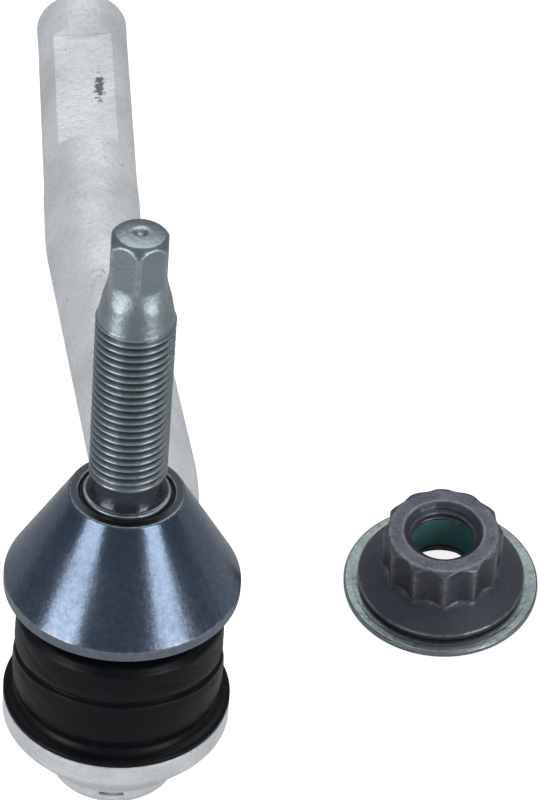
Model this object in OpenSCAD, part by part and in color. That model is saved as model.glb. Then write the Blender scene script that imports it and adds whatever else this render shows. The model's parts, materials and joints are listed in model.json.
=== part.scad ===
// Tie rod end: a forged arm with a ball joint, a taper sleeve and a loose flange nut.
// +Z is up from the ground that it lies on, and the arm points along +Y.
// The joint's pieces are drawn with the ball's centre at zero and the stud along +Z,
// then laid_down() leans them onto the ground. Sizes are in millimetres and degrees.

/* [Lying position] */
// Lean of the stud towards the arm's end
lean_back = 8.1; // [4:0.1:12]
// Lean of the stud to the right
lean_side = 3.6; // [0:0.1:8]
// Distance of the loose nut to the right of the joint
nut_right = 62.8; // [50:0.1:90]
// Distance of the loose nut behind the joint, towards the arm's end
nut_behind = 44.1; // [0:0.1:80]

/* [Housing] */
// Width of the machined seat that shows outside the boot's body
seat_w = 1.8; // [1.2:0.1:5]
// Height of the machined boot seat above the ball's centre
seat_z = -0.5; // [-2:0.1:1]
// Depth of the rim's upright side below the boot seat
rim_depth = 4.2; // [3:0.1:6]
// Wall of the neck round the bearing shell
neck_wall = 2.7; // [2.4:0.1:5]
// Depth of the boot's groove in the neck
neck_groove = 1.2; // [0.8:0.1:1.4]
// Radius of the boss under the housing
boss_r = 12.1; // [9:0.1:14]
// Thickness of the floor under the preload pad
floor_t = 3.4; // [2.5:0.1:8]
// Rounding of the boss's foot
boss_round = 2; // [1:0.1:3]
// Height of the boss's upright side above its rounding
boss_side = 1.6; // [1:0.1:3]
// Size of the fillet between the boss and the bowl
bowl_fillet = 3; // [2:0.1:4]
// Rounding under the rim
bowl_round = 1; // [0.5:0.1:2]
// Width of the staking notch on the front of the boss
notch_w = 4.6; // [3:0.1:6]
// Height of the notch above the boss's foot
notch_up = 3; // [2.2:0.1:4]
// Gap between the boot's flange and the spot face in the arm's root
spot_gap = 1.4; // [1:0.1:4]

/* [Arm] */
// Diameter of the arm
arm_d = 20.9; // [18:0.1:24]
// Diameter of the arm where it leaves the housing
root_d = 16.4; // [14:0.1:18]
// Length of the straight root, from the ball's centre
root_l = 50; // [42:1:70]
// Heading of the root, in degrees to the left of straight back
root_turn = -4; // [-8:0.5:0]
// Length of the slanted middle
crank_l = 64; // [40:1:90]
// Heading of the slanted middle, in degrees to the left
crank_turn = 11; // [5:0.5:20]
// Length of the straight shank at the arm's end
shank_l = 72.5; // [62:0.5:110]
// Heading of the shank, in degrees to the left
shank_turn = 4.7; // [0:0.1:10]
// Bend radius of the arm's centre line
bend_r = 60; // [30:1:120]
// Chamfer round the arm's end
end_chamfer = 1.2; // [0.5:0.1:2]
// Width across the two wrench flats
flats_w = 16; // [14:0.1:18]
// Length of the wrench flats
flats_l = 38; // [20:1:50]
// Distance of the wrench flats from the arm's end
flats_in = 13; // [8:1:20]
// Core diameter of the M14 x 1.5 thread in the arm's end
socket_d = 12.38; // [11:0.01:13]
// Length of that thread
socket_l = 44; // [30:1:50]
// Chamfer at the mouth of that thread
mouth_chamfer = 1.2; // [0.8:0.1:1.6]

/* [Ball and bearing] */
// Ball diameter
ball_d = 25; // [24:0.1:26]
// Wall of the plastic bearing shell
shell_t = 1.8; // [1.5:0.1:2.2]
// Running clearance of the ball, and of the shell in the housing
fit = 0.08; // [0.03:0.01:0.1]
// How far the shell wraps the ball above its middle, in degrees
shell_wrap = 33; // [25:1:35]
// Gap between the shell's two halves
shell_split = 0.4; // [0.2:0.1:1]
// Thickness of the rubber preload pad under the shell
pad_t = 1.2; // [0.8:0.1:1.6]
// Radius of the preload pad
pad_r = 7; // [5:0.5:8]
// Thickness of the steel retaining ring
keeper_t = 2; // [1.5:0.1:2.4]
// Gap between the retaining ring and the ball or the tilted stud
keeper_gap = 0.3; // [0.2:0.05:0.5]
// How far the neck stands above the retaining ring
roll_h = 0.9; // [0.5:0.1:1.5]
// Tilt limit of the stud to each side
tilt_max = 20; // [15:1:20]

/* [Stud] */
// Neck radius between the ball and the collar
stud_neck_r = 7.5; // [6.5:0.1:7.6]
// How much wider than the thread the shank is inside the taper sleeve
shank_step = 0.9; // [0.6:0.1:1.5]
// Collar radius under the sleeve
collar_r = 10; // [9:0.1:12]
// Collar thickness
collar_t = 2.4; // [1.5:0.1:3]
// Outer radius of the M14 x 1.5 thread
thread_r = 7; // [6:0.1:7]
// Length of the thread
thread_l = 33.8; // [25:0.1:45]
// Length of the fillet from the shank down to the thread
fillet_l = 4.2; // [3:0.1:6]
// How far the shank stands above the sleeve
shank_up = 0.3; // [0.1:0.1:2]
// Length of the flare from the thread to the hexagon
flare_l = 8; // [6:0.1:12]
// Width across the flats of the hexagon tip
hex_w = 9.8; // [8:0.1:10]
// Length of the hexagon tip
hex_l = 9.7; // [7:0.1:14]

/* [Taper sleeve] */
// Outer radius of the sleeve's lip
lip_r = 21.6; // [20:0.1:26]
// Height of the lip
lip_h = 2.3; // [1.5:0.1:4]
// Height of the lip's lower face above the housing's neck
boot_free = 16; // [15:0.1:22]
// Width of the flat land round the seal on the sleeve's top
top_land = 1.8; // [1.2:0.1:4]
// Half angle of the taper
taper = 30; // [25:1:35]
// Gap round the boot's bead in the recess under the sleeve
recess_gap = 1.6; // [1:0.1:3]
// Width of the seal's groove round the shank
seal_w = 0.7; // [0.5:0.05:1]
// Depth of the seal's groove
seal_h = 1.8; // [1.2:0.1:2.5]

/* [Boot] */
// How far the boot's flange reaches past the housing's rim
flange_over = 0; // [-0.4:0.1:0.6]
// Thickness of the flange
flange_t = 1.3; // [1:0.1:2]
// Gap between the neck and the inside of the boot's folds
boot_gap = 0.3; // [0.2:0.1:2]
// How far the folds swing in and out
fold = 0.45; // [0.2:0.05:0.6]
// Wall of the boot
boot_t = 1.5; // [1.2:0.1:1.7]
// Height of the upper bead that grips the stud's neck
bead_h = 3.6; // [3:0.1:4]
// Wall of the upper bead
bead_wall = 4.7; // [3:0.1:5.5]
// Wire radius of the bead's spring ring
wire_r = 0.6; // [0.4:0.05:0.8]
// Height of the steel ring in the lower bead
band_h = 2.4; // [2:0.1:3]
// Wall of that ring
band_t = 0.8; // [0.6:0.1:1]

/* [Nut] */
// Width across the flats of the twelve-point head
nut_w = 21; // [18:0.1:22]
// Height of the nut above its washer
nut_h = 14; // [12:0.1:18]
// Radius of the nut's flange
nut_flange_r = 16.7; // [14.5:0.1:17.5]
// Height of the flange's edge
nut_edge_h = 1.4; // [1:0.1:2.5]
// Height of the flange where it meets the head
nut_cone_h = 4.6; // [3:0.1:6]
// Depth of the thread's grooves
thread_deep = 0.81; // [0.6:0.01:1]
// Width of the countersink at the mouth of the nut
nut_mouth = 1.5; // [1:0.1:2.2]
// Length of the locking patch in the thread
patch_l = 7.3; // [4:0.1:8]
// Depth of the locking patch below the countersink
patch_in = 2.2; // [1:0.1:3]
// How far the captive washer reaches past the nut's flange
washer_over = 2.8; // [1.5:0.1:5]
// Thickness of the captive washer
washer_t = 1.5; // [1:0.1:2.5]
// Wall of the hub that holds the washer
hub_wall = 2.4; // [2:0.1:3.5]
// Gap between the flange and the washer
washer_gap = 0.3; // [0.2:0.05:0.5]

/* [Hidden] */
$fn = 96;

tiny = 0.02;

// Broken edges, the staking notch, and the turned-off ends of the stud
edge = 0.4;
neck_edge = 0.6;
notch_h = 0.8;
notch_deep = 1;
keeper_flare = 6;
keeper_bite = 0.45;
ball_flat = 1;
tip_chamfer_h = 3.2;
mark_r = 1.3;
mark_h = 0.8;

// Radii of the arm, the ball and the bearing
ball_r = ball_d / 2;
arm_r = arm_d / 2;
shell_in_r = ball_r + fit;
shell_out_r = shell_in_r + shell_t;
shell_top = ball_r * sin(shell_wrap);
pocket_r = shell_out_r + fit;

// The retaining ring stays clear of the ball, and of the stud's neck at its full tilt
keeper_z = shell_top + 2 * fit;
keeper_r = keeper_gap + max(sqrt(pow(ball_r, 2) - pow(keeper_z, 2)),
                            keeper_z * tan(tilt_max) + stud_neck_r / cos(tilt_max));
keeper_top_r = keeper_r + keeper_t * tan(tilt_max + keeper_flare);
keeper_out_r = pocket_r + neck_wall * keeper_bite;
roll_r = (keeper_top_r + keeper_out_r) / 2;

// The housing and the boot grow outwards from the bearing
neck_top = keeper_z + keeper_t + roll_h;
neck_r = pocket_r + neck_wall;
boot_r = neck_r + boot_gap + boot_t + fold;
housing_r = boot_r + seat_w;
flange_r = housing_r + flange_over;
spot_r = flange_r + spot_gap;
boss_depth = pocket_r + pad_t + floor_t;
groove_h = 3.6;
band_up = 0.4;
root_in = 8;
bend_lap = 1;
bend_thinner = 0.1;

// The lean as one turn, and the ball's height with the boss's rim on the ground
lean = acos(cos(lean_back) * cos(lean_side));
ball_up = (boss_depth - boss_round) * cos(lean) + (boss_r - boss_round) * sin(lean) + boss_round;

// Radii and heights along the stud
shank_r = thread_r + shank_step;
sleeve_z = neck_top + boot_free;
sleeve_top_r = shank_r + seal_w + top_land;
bead_r = stud_neck_r + bead_wall;
recess_r = bead_r + 2 * wire_r + recess_gap;
collar_z = sleeve_z + 0.5;
collar_top = collar_z + collar_t;
taper_z = sleeve_z + lip_h;
sleeve_top = taper_z + (lip_r - sleeve_top_r) / tan(taper);
shank_top = sleeve_top + shank_up;
thread_z = shank_top + fillet_l;
thread_top = thread_z + thread_l;
hex_z = thread_top + flare_l;
tip_l = flare_l + hex_l;
hex_corner_r = hex_w / 2 / cos(30);
bead_top = collar_z - 1.2;

// Heights and radii of the nut and its washer
hub_low = 0.5;
lead_in_h = 2.1;
hub_r = thread_r + hub_wall;
nut_core_r = thread_r - thread_deep;
nut_mouth_r = nut_core_r + nut_mouth;
patch_out_r = thread_r;
washer_r = nut_flange_r + washer_over;

// The arm's centre line in plan: straight, bend, straight, bend, straight
function ahead(a) = [-sin(a), cos(a)];
function across(a) = [cos(a), sin(a)];
bend_1 = root_l * ahead(root_turn);
centre_1 = bend_1 - bend_r * across(root_turn);
crank_start = centre_1 + bend_r * across(crank_turn);
bend_2 = crank_start + crank_l * ahead(crank_turn);
centre_2 = bend_2 + bend_r * across(crank_turn);
shank_start = centre_2 - bend_r * across(shank_turn);
arm_end = shank_start + shank_l * ahead(shank_turn);

// The middle of the whole assembly's footprint, which is the origin
left_x = arm_end[0] - arm_r * cos(shank_turn);
right_x = nut_right + washer_r;
front_y = (seat_z - rim_depth) * sin(lean_back) - housing_r * cos(lean_back);
back_y = arm_end[1] + (arm_r - end_chamfer) * sin(shank_turn);
middle = [(left_x + right_x) / 2, (front_y + back_y) / 2, 0];

module on_ground() { translate(-middle) children(); }
module laid_down() {
  on_ground() translate([0, 0, ball_up]) rotate([0, lean_side, 0]) rotate([-lean_back, 0, 0]) children();
}
module at_nut() { on_ground() translate([nut_right, nut_behind, 0]) children(); }
module lathe(points) { rotate_extrude() polygon(points); }

// The housing's outside: boss, bowl, upright rim, machined seat and grooved neck
module housing_blank() {
  boss_z = -boss_depth + boss_round;
  bowl_top = seat_z - rim_depth;
  bowl_low = -boss_depth + boss_round + boss_side;
  rounding = [for (a = [-90:22.5:0])
              [boss_r - boss_round + boss_round * cos(a), boss_z + boss_round * sin(a)]];
  bowl = [[boss_r + bowl_fillet * 0.3, bowl_low + bowl_fillet * 0.4],
          [boss_r + bowl_fillet, bowl_low + bowl_fillet],
          [housing_r - bowl_round * 0.6, bowl_top - bowl_round], [housing_r, bowl_top]];
  lathe(concat([[0, -boss_depth]], rounding, [[boss_r, bowl_low]], bowl,
               [[housing_r, seat_z - edge], [housing_r - edge, seat_z],
                [neck_r - neck_groove, seat_z], [neck_r - neck_groove, seat_z + groove_h],
                [neck_r, seat_z + groove_h + neck_edge], [neck_r, neck_top - neck_edge],
                [neck_r - neck_edge, neck_top],
                [0, neck_top]]));
}

// The hollow for the shell, the pad and the retaining ring, open at the top
module housing_socket() {
  sphere(pocket_r);
  cylinder(h = keeper_z, r = pocket_r);
  translate([0, 0, keeper_z]) cylinder(h = keeper_t + tiny, r = keeper_out_r);
  translate([0, 0, keeper_z + keeper_t]) cylinder(h = roll_h + 1, r = roll_r);
  translate([0, 0, -pocket_r - pad_t]) cylinder(h = pocket_r, r = pad_r + tiny);
}

// Places a piece at a point of the arm's centre line, with the piece's +Z along the heading
module along_arm(from, heading) {
  translate(from) rotate([0, 0, heading]) rotate([-90, 0, 0]) children();
}

// A bend of the arm about an upright axis. It is a hair thinner than the rods and runs into
// both of them, so that their surfaces cross instead of just touching.
module arm_bend(centre, from_angle, sweep) {
  translate(centre) rotate([0, 0, from_angle - bend_lap]) rotate_extrude(angle = sweep + 2 * bend_lap)
    translate([bend_r, 0]) circle(arm_r - bend_thinner);
}

// The straight slanted middle. Made wider, it trims the bends that run into it.
module crank_rod(wider) {
  along_arm(crank_start, crank_turn) cylinder(h = crank_l, r = arm_r + wider);
}

// The root and the first bend, up to the slanted middle
module arm_root() {
  difference() {
    union() {
      along_arm(root_in * ahead(root_turn), root_turn)
        cylinder(h = root_l - root_in, r1 = root_d / 2, r2 = arm_r);
      arm_bend(centre_1, root_turn, crank_turn - root_turn);
    }
    crank_rod(1);
  }
}

// The second bend and the straight shank, from the slanted middle on
module shank_blank() {
  difference() {
    union() {
      arm_bend(centre_2, 180 + shank_turn, crank_turn - shank_turn);
      along_arm(shank_start, shank_turn)
        lathe([[0, 0], [arm_r, 0], [arm_r, shank_l - end_chamfer], [arm_r - end_chamfer, shank_l],
               [0, shank_l]]);
    }
    crank_rod(1);
  }
}

// The threaded hole, with a chamfered mouth and a drill point
module arm_socket() {
  r = socket_d / 2;
  translate(arm_end) rotate([0, 0, shank_turn]) rotate([90, 0, 0]) {
    translate([0, 0, -tiny]) cylinder(h = mouth_chamfer + tiny, r1 = r + mouth_chamfer + tiny, r2 = r);
    translate([0, 0, mouth_chamfer - tiny]) cylinder(h = socket_l + tiny, r = r);
    translate([0, 0, mouth_chamfer + socket_l]) cylinder(h = r / 2, r1 = r, r2 = 0);
  }
}

// Two flats for a wrench, above and below the shank
module wrench_flats() {
  translate(arm_end) rotate([0, 0, shank_turn])
    for (side = [-1, 1])
      translate([0, -flats_in - flats_l / 2, side * (flats_w + arm_r) / 2])
        cube([arm_d + 2, flats_l, arm_r], center = true);
}

// The forging is drawn as three nodes that meet face to face: the housing with the arm's root,
// the slanted middle, and the shank with its thread and flats
module forging() {
  color("silver") difference() {
    union() {
      laid_down() housing_blank();
      // The spot face cuts the arm's root level with the seat, clear of the boot's flange
      difference() {
        on_ground() translate([0, 0, arm_r]) arm_root();
        laid_down() translate([0, 0, seat_z]) cylinder(h = arm_d, r = spot_r);
      }
    }
    laid_down() housing_socket();
    laid_down() translate([0, -boss_r, notch_up - boss_depth])
      cube([notch_w, 2 * notch_deep, notch_h], center = true);
  }
}

module arm_crank() {
  color("silver") on_ground() translate([0, 0, arm_r]) crank_rod(0);
}

module arm_shank() {
  color("silver") on_ground() translate([0, 0, arm_r]) difference() {
    shank_blank();
    arm_socket();
    wrench_flats();
  }
}

module ball_stud() {
  color("slategray") laid_down() {
    difference() {
      union() {
        sphere(ball_r);
        lathe([[0, 0], [stud_neck_r, 0], [stud_neck_r, collar_z - 1], [collar_r - 0.5, collar_z],
               [collar_r, collar_z + 0.5], [collar_r, collar_top], [shank_r, collar_top],
               [shank_r, shank_top], [(shank_r + 2 * thread_r) / 3, shank_top + fillet_l / 3],
               [thread_r - 0.4, thread_z - 0.4], [thread_r, thread_z], [thread_r, thread_top],
               [thread_r - 1.5, thread_top + flare_l * 0.75], [hex_w / 2, hex_z + 1], [0, hex_z + 1]]);
        intersection() {
          translate([0, 0, thread_top]) rotate([0, 0, 30])
            cylinder(h = tip_l, r = hex_corner_r, $fn = 6);
          translate([0, 0, thread_top])
            lathe([[0, 0], [thread_r - 0.5, 0], [thread_r - 0.5, tip_l - tip_chamfer_h],
                   [hex_w / 2 - edge, tip_l], [0, tip_l]]);
        }
      }
      translate([0, 0, -ball_r - ball_flat]) cylinder(h = 2 * ball_flat, r = ball_r);
      translate([0, 0, hex_z + hex_l - mark_h]) cylinder(h = 1, r1 = edge, r2 = mark_r);
    }
  }
}

module bearing_cup() {
  color("ivory") laid_down() difference() {
    sphere(shell_out_r);
    sphere(shell_in_r);
    translate([0, 0, -shell_split / 2]) cylinder(h = shell_out_r + 1, r = shell_out_r + 1);
  }
}

module bearing_collar() {
  color("ivory") laid_down() difference() {
    translate([0, 0, shell_split / 2]) cylinder(h = shell_top - shell_split / 2, r = shell_out_r);
    sphere(shell_in_r);
  }
}

module preload_pad() {
  color("dimgray") laid_down() difference() {
    translate([0, 0, -pocket_r - pad_t]) cylinder(h = pocket_r / 2, r = pad_r);
    sphere(pocket_r);
  }
}

module retaining_ring() {
  top = keeper_z + keeper_t;
  color("gray") laid_down()
    lathe([[keeper_r, keeper_z], [keeper_out_r - tiny, keeper_z], [keeper_out_r - tiny, top],
           [keeper_top_r, top]]);
}

// The boot: flange, grip in the neck's groove, two soft folds, shoulder and upper bead
module boot() {
  low = seat_z + tiny;
  grip_r = neck_r - neck_groove + tiny;
  band_low = seat_z + band_up;
  bead_low = bead_top - bead_h;
  fold_from = low + flange_t + 1.2;
  fold_to = bead_low - 3.4;
  folds = [for (i = [0:16])
           [boot_r - fold * cos(720 * i / 16), fold_from + (fold_to - fold_from) * i / 16]];
  inside = [for (i = [16:-1:2]) folds[i] - [boot_t, 0]];
  color("#1a1a1c") laid_down()
    lathe(concat([[grip_r, low], [flange_r, low], [flange_r, low + flange_t]], folds,
                 [[boot_r - 1.6, bead_low - 1.6], [boot_r - 4.4, bead_low - 0.3],
                  [bead_r + 1, bead_low + 0.4], [bead_r, bead_low + 0.8], [bead_r, bead_top],
                  [stud_neck_r + fit, bead_top],
                  [stud_neck_r + fit, bead_low], [bead_r - 0.6, bead_low - 0.8],
                  [boot_r - boot_t - 3.4, bead_low - 1.8], [boot_r - boot_t - 1.4, bead_low - 3]],
                 inside,
                 [[neck_r + 0.15, seat_z + groove_h + 0.3], [grip_r, seat_z + groove_h - 0.2],
                  [grip_r, band_low + band_h + tiny], [grip_r + band_t + tiny, band_low + band_h + tiny],
                  [grip_r + band_t + tiny, band_low - tiny], [grip_r, band_low - tiny]]));
}

module boot_band() {
  inner = neck_r - neck_groove + tiny;
  color("gray") laid_down() translate([0, 0, seat_z + band_up]) difference() {
    cylinder(h = band_h, r = inner + band_t);
    translate([0, 0, -1]) cylinder(h = band_h + 2, r = inner);
  }
}

module boot_spring_ring() {
  color("gray") laid_down() translate([0, 0, bead_top - bead_h / 2]) rotate_extrude()
    translate([bead_r + wire_r + 0.1, 0]) circle(wire_r, $fn = 32);
}

module taper_sleeve() {
  bore_r = shank_r + tiny;
  color("#4a5666") laid_down()
    lathe([[bore_r, collar_top + tiny], [recess_r, collar_top + tiny], [recess_r, sleeve_z],
           [lip_r - 0.3, sleeve_z], [lip_r, sleeve_z + 0.3], [lip_r, taper_z], [sleeve_top_r, sleeve_top],
           [shank_r + seal_w, sleeve_top], [shank_r + seal_w, sleeve_top - seal_h],
           [bore_r, sleeve_top - seal_h]]);
}

module sleeve_seal() {
  color("#101012") laid_down() translate([0, 0, sleeve_top - seal_h + tiny]) difference() {
    cylinder(h = seal_h - 0.5, r = shank_r + seal_w - tiny);
    translate([0, 0, -1]) cylinder(h = seal_h + 2, r = shank_r + tiny);
  }
}

// Two hexagonal prisms make the twelve-point head; its corners are turned off a little
module nut() {
  low = washer_t + washer_gap;
  corner_r = nut_w / 2 / cos(30);
  mouth_h = nut_mouth_r - nut_core_r;
  top = low + nut_h;
  color("#4d4a52") at_nut() difference() {
    union() {
      intersection() {
        for (turn = [0, 30]) rotate([0, 0, turn]) translate([0, 0, low + nut_edge_h])
          cylinder(h = nut_h - nut_edge_h, r = corner_r, $fn = 6);
        lathe([[0, low], [corner_r - 0.25, low], [corner_r - 0.25, top - 0.8],
               [corner_r - 1.2, top], [0, top]]);
      }
      lathe([[0, hub_low], [hub_r, hub_low], [hub_r, low], [nut_flange_r - 0.4, low],
             [nut_flange_r, low + 0.4], [nut_flange_r, low + nut_edge_h],
             [corner_r - 0.6, low + nut_cone_h], [0, low + nut_cone_h]]);
    }
    translate([0, 0, -1]) cylinder(h = top + 2, r = nut_core_r);
    translate([0, 0, top - mouth_h]) cylinder(h = mouth_h + tiny, r1 = nut_core_r, r2 = nut_mouth_r + tiny);
    translate([0, 0, top - mouth_h - patch_in - patch_l]) cylinder(h = patch_l, r = patch_out_r + tiny);
    translate([0, 0, hub_low - tiny]) cylinder(h = lead_in_h + tiny, r1 = hub_r - 1, r2 = nut_core_r);
  }
}

module nut_locking_patch() {
  top = washer_t + washer_gap + nut_h - (nut_mouth_r - nut_core_r) - patch_in;
  color("teal") at_nut() translate([0, 0, top - patch_l + tiny]) difference() {
    cylinder(h = patch_l - 2 * tiny, r = patch_out_r);
    translate([0, 0, -1]) cylinder(h = patch_l + 2, r = nut_core_r);
  }
}

module nut_washer() {
  bore = hub_r + fit;
  color("#7d8a88") at_nut()
    lathe([[bore, 0], [washer_r - 0.3, 0], [washer_r, 0.3], [washer_r, washer_t - 0.3],
           [washer_r - 0.3, washer_t], [bore, washer_t]]);
}

forging();
arm_crank();
arm_shank();
ball_stud();
bearing_cup();
bearing_collar();
preload_pad();
retaining_ring();
boot();
boot_band();
boot_spring_ring();
taper_sleeve();
sleeve_seal();
nut();
nut_locking_patch();
nut_washer();
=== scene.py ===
"""Tie rod end: a forged arm with a ball joint, a taper sleeve and a loose flange nut."""

import json
import math
from types import SimpleNamespace

import bmesh
import bpy
import numpy as np
from bpy.props import FloatProperty, FloatVectorProperty, PointerProperty
from bpy.types import Operator, Panel, PropertyGroup
from mathutils import Matrix


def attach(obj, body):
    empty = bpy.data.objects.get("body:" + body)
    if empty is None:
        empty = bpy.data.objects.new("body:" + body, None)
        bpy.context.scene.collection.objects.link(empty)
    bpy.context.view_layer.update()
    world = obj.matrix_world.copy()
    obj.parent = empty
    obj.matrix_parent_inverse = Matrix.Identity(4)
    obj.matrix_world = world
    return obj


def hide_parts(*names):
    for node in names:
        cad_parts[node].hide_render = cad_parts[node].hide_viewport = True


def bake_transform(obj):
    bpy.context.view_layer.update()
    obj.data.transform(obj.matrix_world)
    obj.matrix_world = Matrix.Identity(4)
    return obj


bl_info = {
    "name": "Tie Rod End",
    "version": (1, 0, 0),
    "blender": (4, 5, 0),
    "location": "View3D > Sidebar > Tie Rod",
    "description": "Builds a forged tie rod end with its ball stud, taper sleeve, boot and flange nut",
    "category": "Object",
}

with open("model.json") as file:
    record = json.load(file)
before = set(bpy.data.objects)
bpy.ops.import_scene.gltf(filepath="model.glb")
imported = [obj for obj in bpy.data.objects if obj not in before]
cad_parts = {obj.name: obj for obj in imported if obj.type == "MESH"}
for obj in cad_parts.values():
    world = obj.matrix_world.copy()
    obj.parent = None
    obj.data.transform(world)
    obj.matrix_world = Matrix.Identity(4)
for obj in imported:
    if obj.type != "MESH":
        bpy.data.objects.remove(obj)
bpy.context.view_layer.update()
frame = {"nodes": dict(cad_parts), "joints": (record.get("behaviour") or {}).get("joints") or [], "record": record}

JOINTS = {joint["name"]: joint for joint in frame["joints"]}
MOUNTS = {mount["name"]: mount for mount in frame["record"]["mounts"]}
BALL = np.array(JOINTS["ball_azimuth"]["pos_m"])
STUD_AXIS = np.array(JOINTS["ball_azimuth"]["axis"])
TILT_AXIS = np.array(JOINTS["ball_tilt"]["axis"])
JOINT_AXES = np.array([TILT_AXIS, np.cross(STUD_AXIS, TILT_AXIS), STUD_AXIS])
NUT = np.array([*MOUNTS["nut_thread"]["pos_m"][:2], 0.0])
MM = 0.001

# Millimetres: the pitch of all three threads, the depth of the one in the arm's bore, the gap where two
# pieces sit against each other, and the gap where one turns in another
PITCH = 1.5
BORE_THREAD_DEEP = 0.81
SNUG = 0.02
RUNNING_FIT = 0.08

# Lamps: name, azimuth and elevation in degrees, distance, width and height in metres, power in watts
LAMPS = (("left_softbox", -53.0, 12.0, 0.9, 0.46, 0.9, 3.9),
         ("right_softbox", 47.0, 12.0, 0.9, 0.38, 0.9, 3.4),
         ("overhead", 165.0, 62.0, 1.2, 1.3, 1.1, 6.6))
LIT_POINT = (0.0, -0.05, 0.04)

# Camera: place in metres, tilt and roll in degrees, focal length in millimetres
CAMERA_AT = (0.000504, -0.47227, 0.4864)
CAMERA_DOWN = 45.72
CAMERA_ROLL = 0.42
CAMERA_LENS = 144.0


# ---------------------------------------------------------------- sizes and colours


def length(name, description, millimetres):
    """A length property, kept in metres."""
    return FloatProperty(name=name, description=description, default=millimetres * MM,
                         min=-0.1, max=0.5, precision=4, unit="LENGTH", subtype="DISTANCE")


def turn(name, description, degrees):
    """An angle property, kept in radians."""
    return FloatProperty(name=name, description=description, default=math.radians(degrees),
                         unit="ROTATION", subtype="ANGLE")


def share(name, description, value):
    """A plain number from 0 to 1."""
    return FloatProperty(name=name, description=description, default=value,
                         min=0.0, max=1.0, subtype="FACTOR")


def colour(name, description, value):
    """A linear colour."""
    return FloatVectorProperty(name=name, description=description, default=value,
                               size=3, min=0.0, max=1.0, subtype="COLOR")


class TIEROD_PG_housing(PropertyGroup):
    """Sizes of the joint's housing."""

    rim_r: length("Rim radius", "Outer radius of the machined rim", 21.21)
    rim_depth: length("Rim depth", "Depth of the rim's upright side below the seat", 4.2)
    seat_z: length("Seat height", "Height of the boot's seat above the ball's centre", -0.5)
    boss_r: length("Boss radius", "Radius of the boss under the housing", 12.1)
    boss_depth: length("Boss depth", "Distance of the boss's foot below the ball's centre", 19.06)
    boss_round: length("Boss rounding", "Rounding of the boss's foot", 2.0)
    boss_side: length("Boss side", "Height of the boss's upright side", 1.6)
    bowl_fillet: length("Bowl fillet", "Size of the fillet between boss and bowl", 3.0)
    neck_r: length("Neck radius", "Radius of the neck inside the boot", 17.16)
    neck_top: length("Neck top", "Height of the neck's top above the ball's centre", 9.87)
    groove: length("Groove", "Depth of the boot's groove in the neck", 1.2)
    groove_h: length("Groove height", "Height of the boot's groove", 3.6)
    pocket_r: length("Pocket radius", "Radius of the bearing's pocket", 14.46)
    pad_r: length("Pad pocket radius", "Radius of the preload pad's pocket", 7.02)
    pad_depth: length("Pad pocket depth", "Depth of that pocket below the ball's centre", 15.66)
    keeper_z: length("Ring height", "Height of the retaining ring's seat", 6.97)
    keeper_r: length("Ring seat radius", "Radius of that seat", 15.7)
    keeper_t: length("Ring thickness", "Thickness of the retaining ring", 2.0)
    roll_r: length("Rolled lip radius", "Inner radius of the lip rolled over the ring", 14.6)
    notch_w: length("Notch width", "Width of the notch on the boss", 4.6)
    notch_up: length("Notch height", "Height of the notch above the boss's foot", 3.0)


class TIEROD_PG_arm(PropertyGroup):
    """Sizes of the forged arm."""

    radius: length("Arm radius", "Radius of the arm", 10.45)
    root_r: length("Root radius", "Radius of the arm where it leaves the housing", 8.2)
    root_in: length("Root start", "Distance of the root's start from the ball", 8.0)
    root_l: length("Root length", "Length of the straight root", 50.0)
    crank_l: length("Crank length", "Length of the slanted middle", 64.0)
    shank_l: length("Shank length", "Length of the straight shank", 72.5)
    bend_r: length("Bend radius", "Bend radius of the centre line", 60.0)
    root_turn: turn("Root heading", "Heading of the root, to the left", -4.0)
    crank_turn: turn("Crank heading", "Heading of the slanted middle, to the left", 11.0)
    shank_turn: turn("Shank heading", "Heading of the shank, to the left", 4.7)
    fillet: length("Root fillet", "Reach of the fillet between arm and housing", 11.0)
    chamfer: length("End chamfer", "Chamfer round the arm's end", 1.2)
    parting: length("Parting line", "Height of the trimmed parting line", 0.22)
    flats_w: length("Across flats", "Width across the wrench flats", 16.0)
    flats_l: length("Flat length", "Length of the wrench flats", 38.0)
    flats_in: length("Flat distance", "Distance of the flats from the arm's end", 13.0)
    punch_r: length("Punch mark", "Radius of the round punch mark on the slanted middle", 1.6)
    punch_at: length("Punch distance", "Distance of the punch mark from the ball, along the arm", 113.0)
    spot_r: length("Spot face radius", "Radius of the cut that clears the boot", 22.61)
    blasted: colour("Blasted aluminium", "Colour of the blasted forging", (0.93, 0.95, 0.96))
    # This colour also paints shade on the walls of the notch.
    stain_and_notch_shade: colour("Stain", "Colour of the dark marks on the forging", (0.09, 0.10, 0.11))
    roughness: share("Roughness", "Roughness of the blasted forging", 0.56)


class TIEROD_PG_stud(PropertyGroup):
    """Sizes of the ball stud."""

    ball_r: length("Ball radius", "Radius of the ball", 12.5)
    neck_r: length("Neck radius", "Radius between the ball and the collar", 7.5)
    collar_z: length("Collar height", "Height of the collar's foot", 26.37)
    collar_r: length("Collar radius", "Radius of the collar", 10.0)
    collar_t: length("Collar thickness", "Thickness of the collar", 2.4)
    shank_r: length("Shank radius", "Radius inside the taper sleeve", 7.9)
    shank_top: length("Shank top", "Height where the shank starts to narrow", 47.9)
    pitch: length("Thread pitch", "Distance between the thread's crests", PITCH)
    thread_deep: length("Thread depth", "Depth of the thread", 0.92)
    flare_l: length("Flare length", "Length of the flare up to the hexagon", 8.0)
    hex_w: length("Hexagon width", "Width across the tip's flats", 9.8)
    hex_l: length("Hexagon length", "Length of the tip", 9.7)
    coat: colour("Zinc flake", "Colour of the stud's coating", (0.31, 0.37, 0.40))
    crest: colour("Worn crest", "Colour of the rubbed crests", (0.50, 0.56, 0.58))
    # Painted shade and reflection: dark colour of the glossy fillet under the thread.
    oiled: colour("Oiled fillet", "Colour of the dark fillet under the thread", (0.07, 0.08, 0.095))


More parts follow.
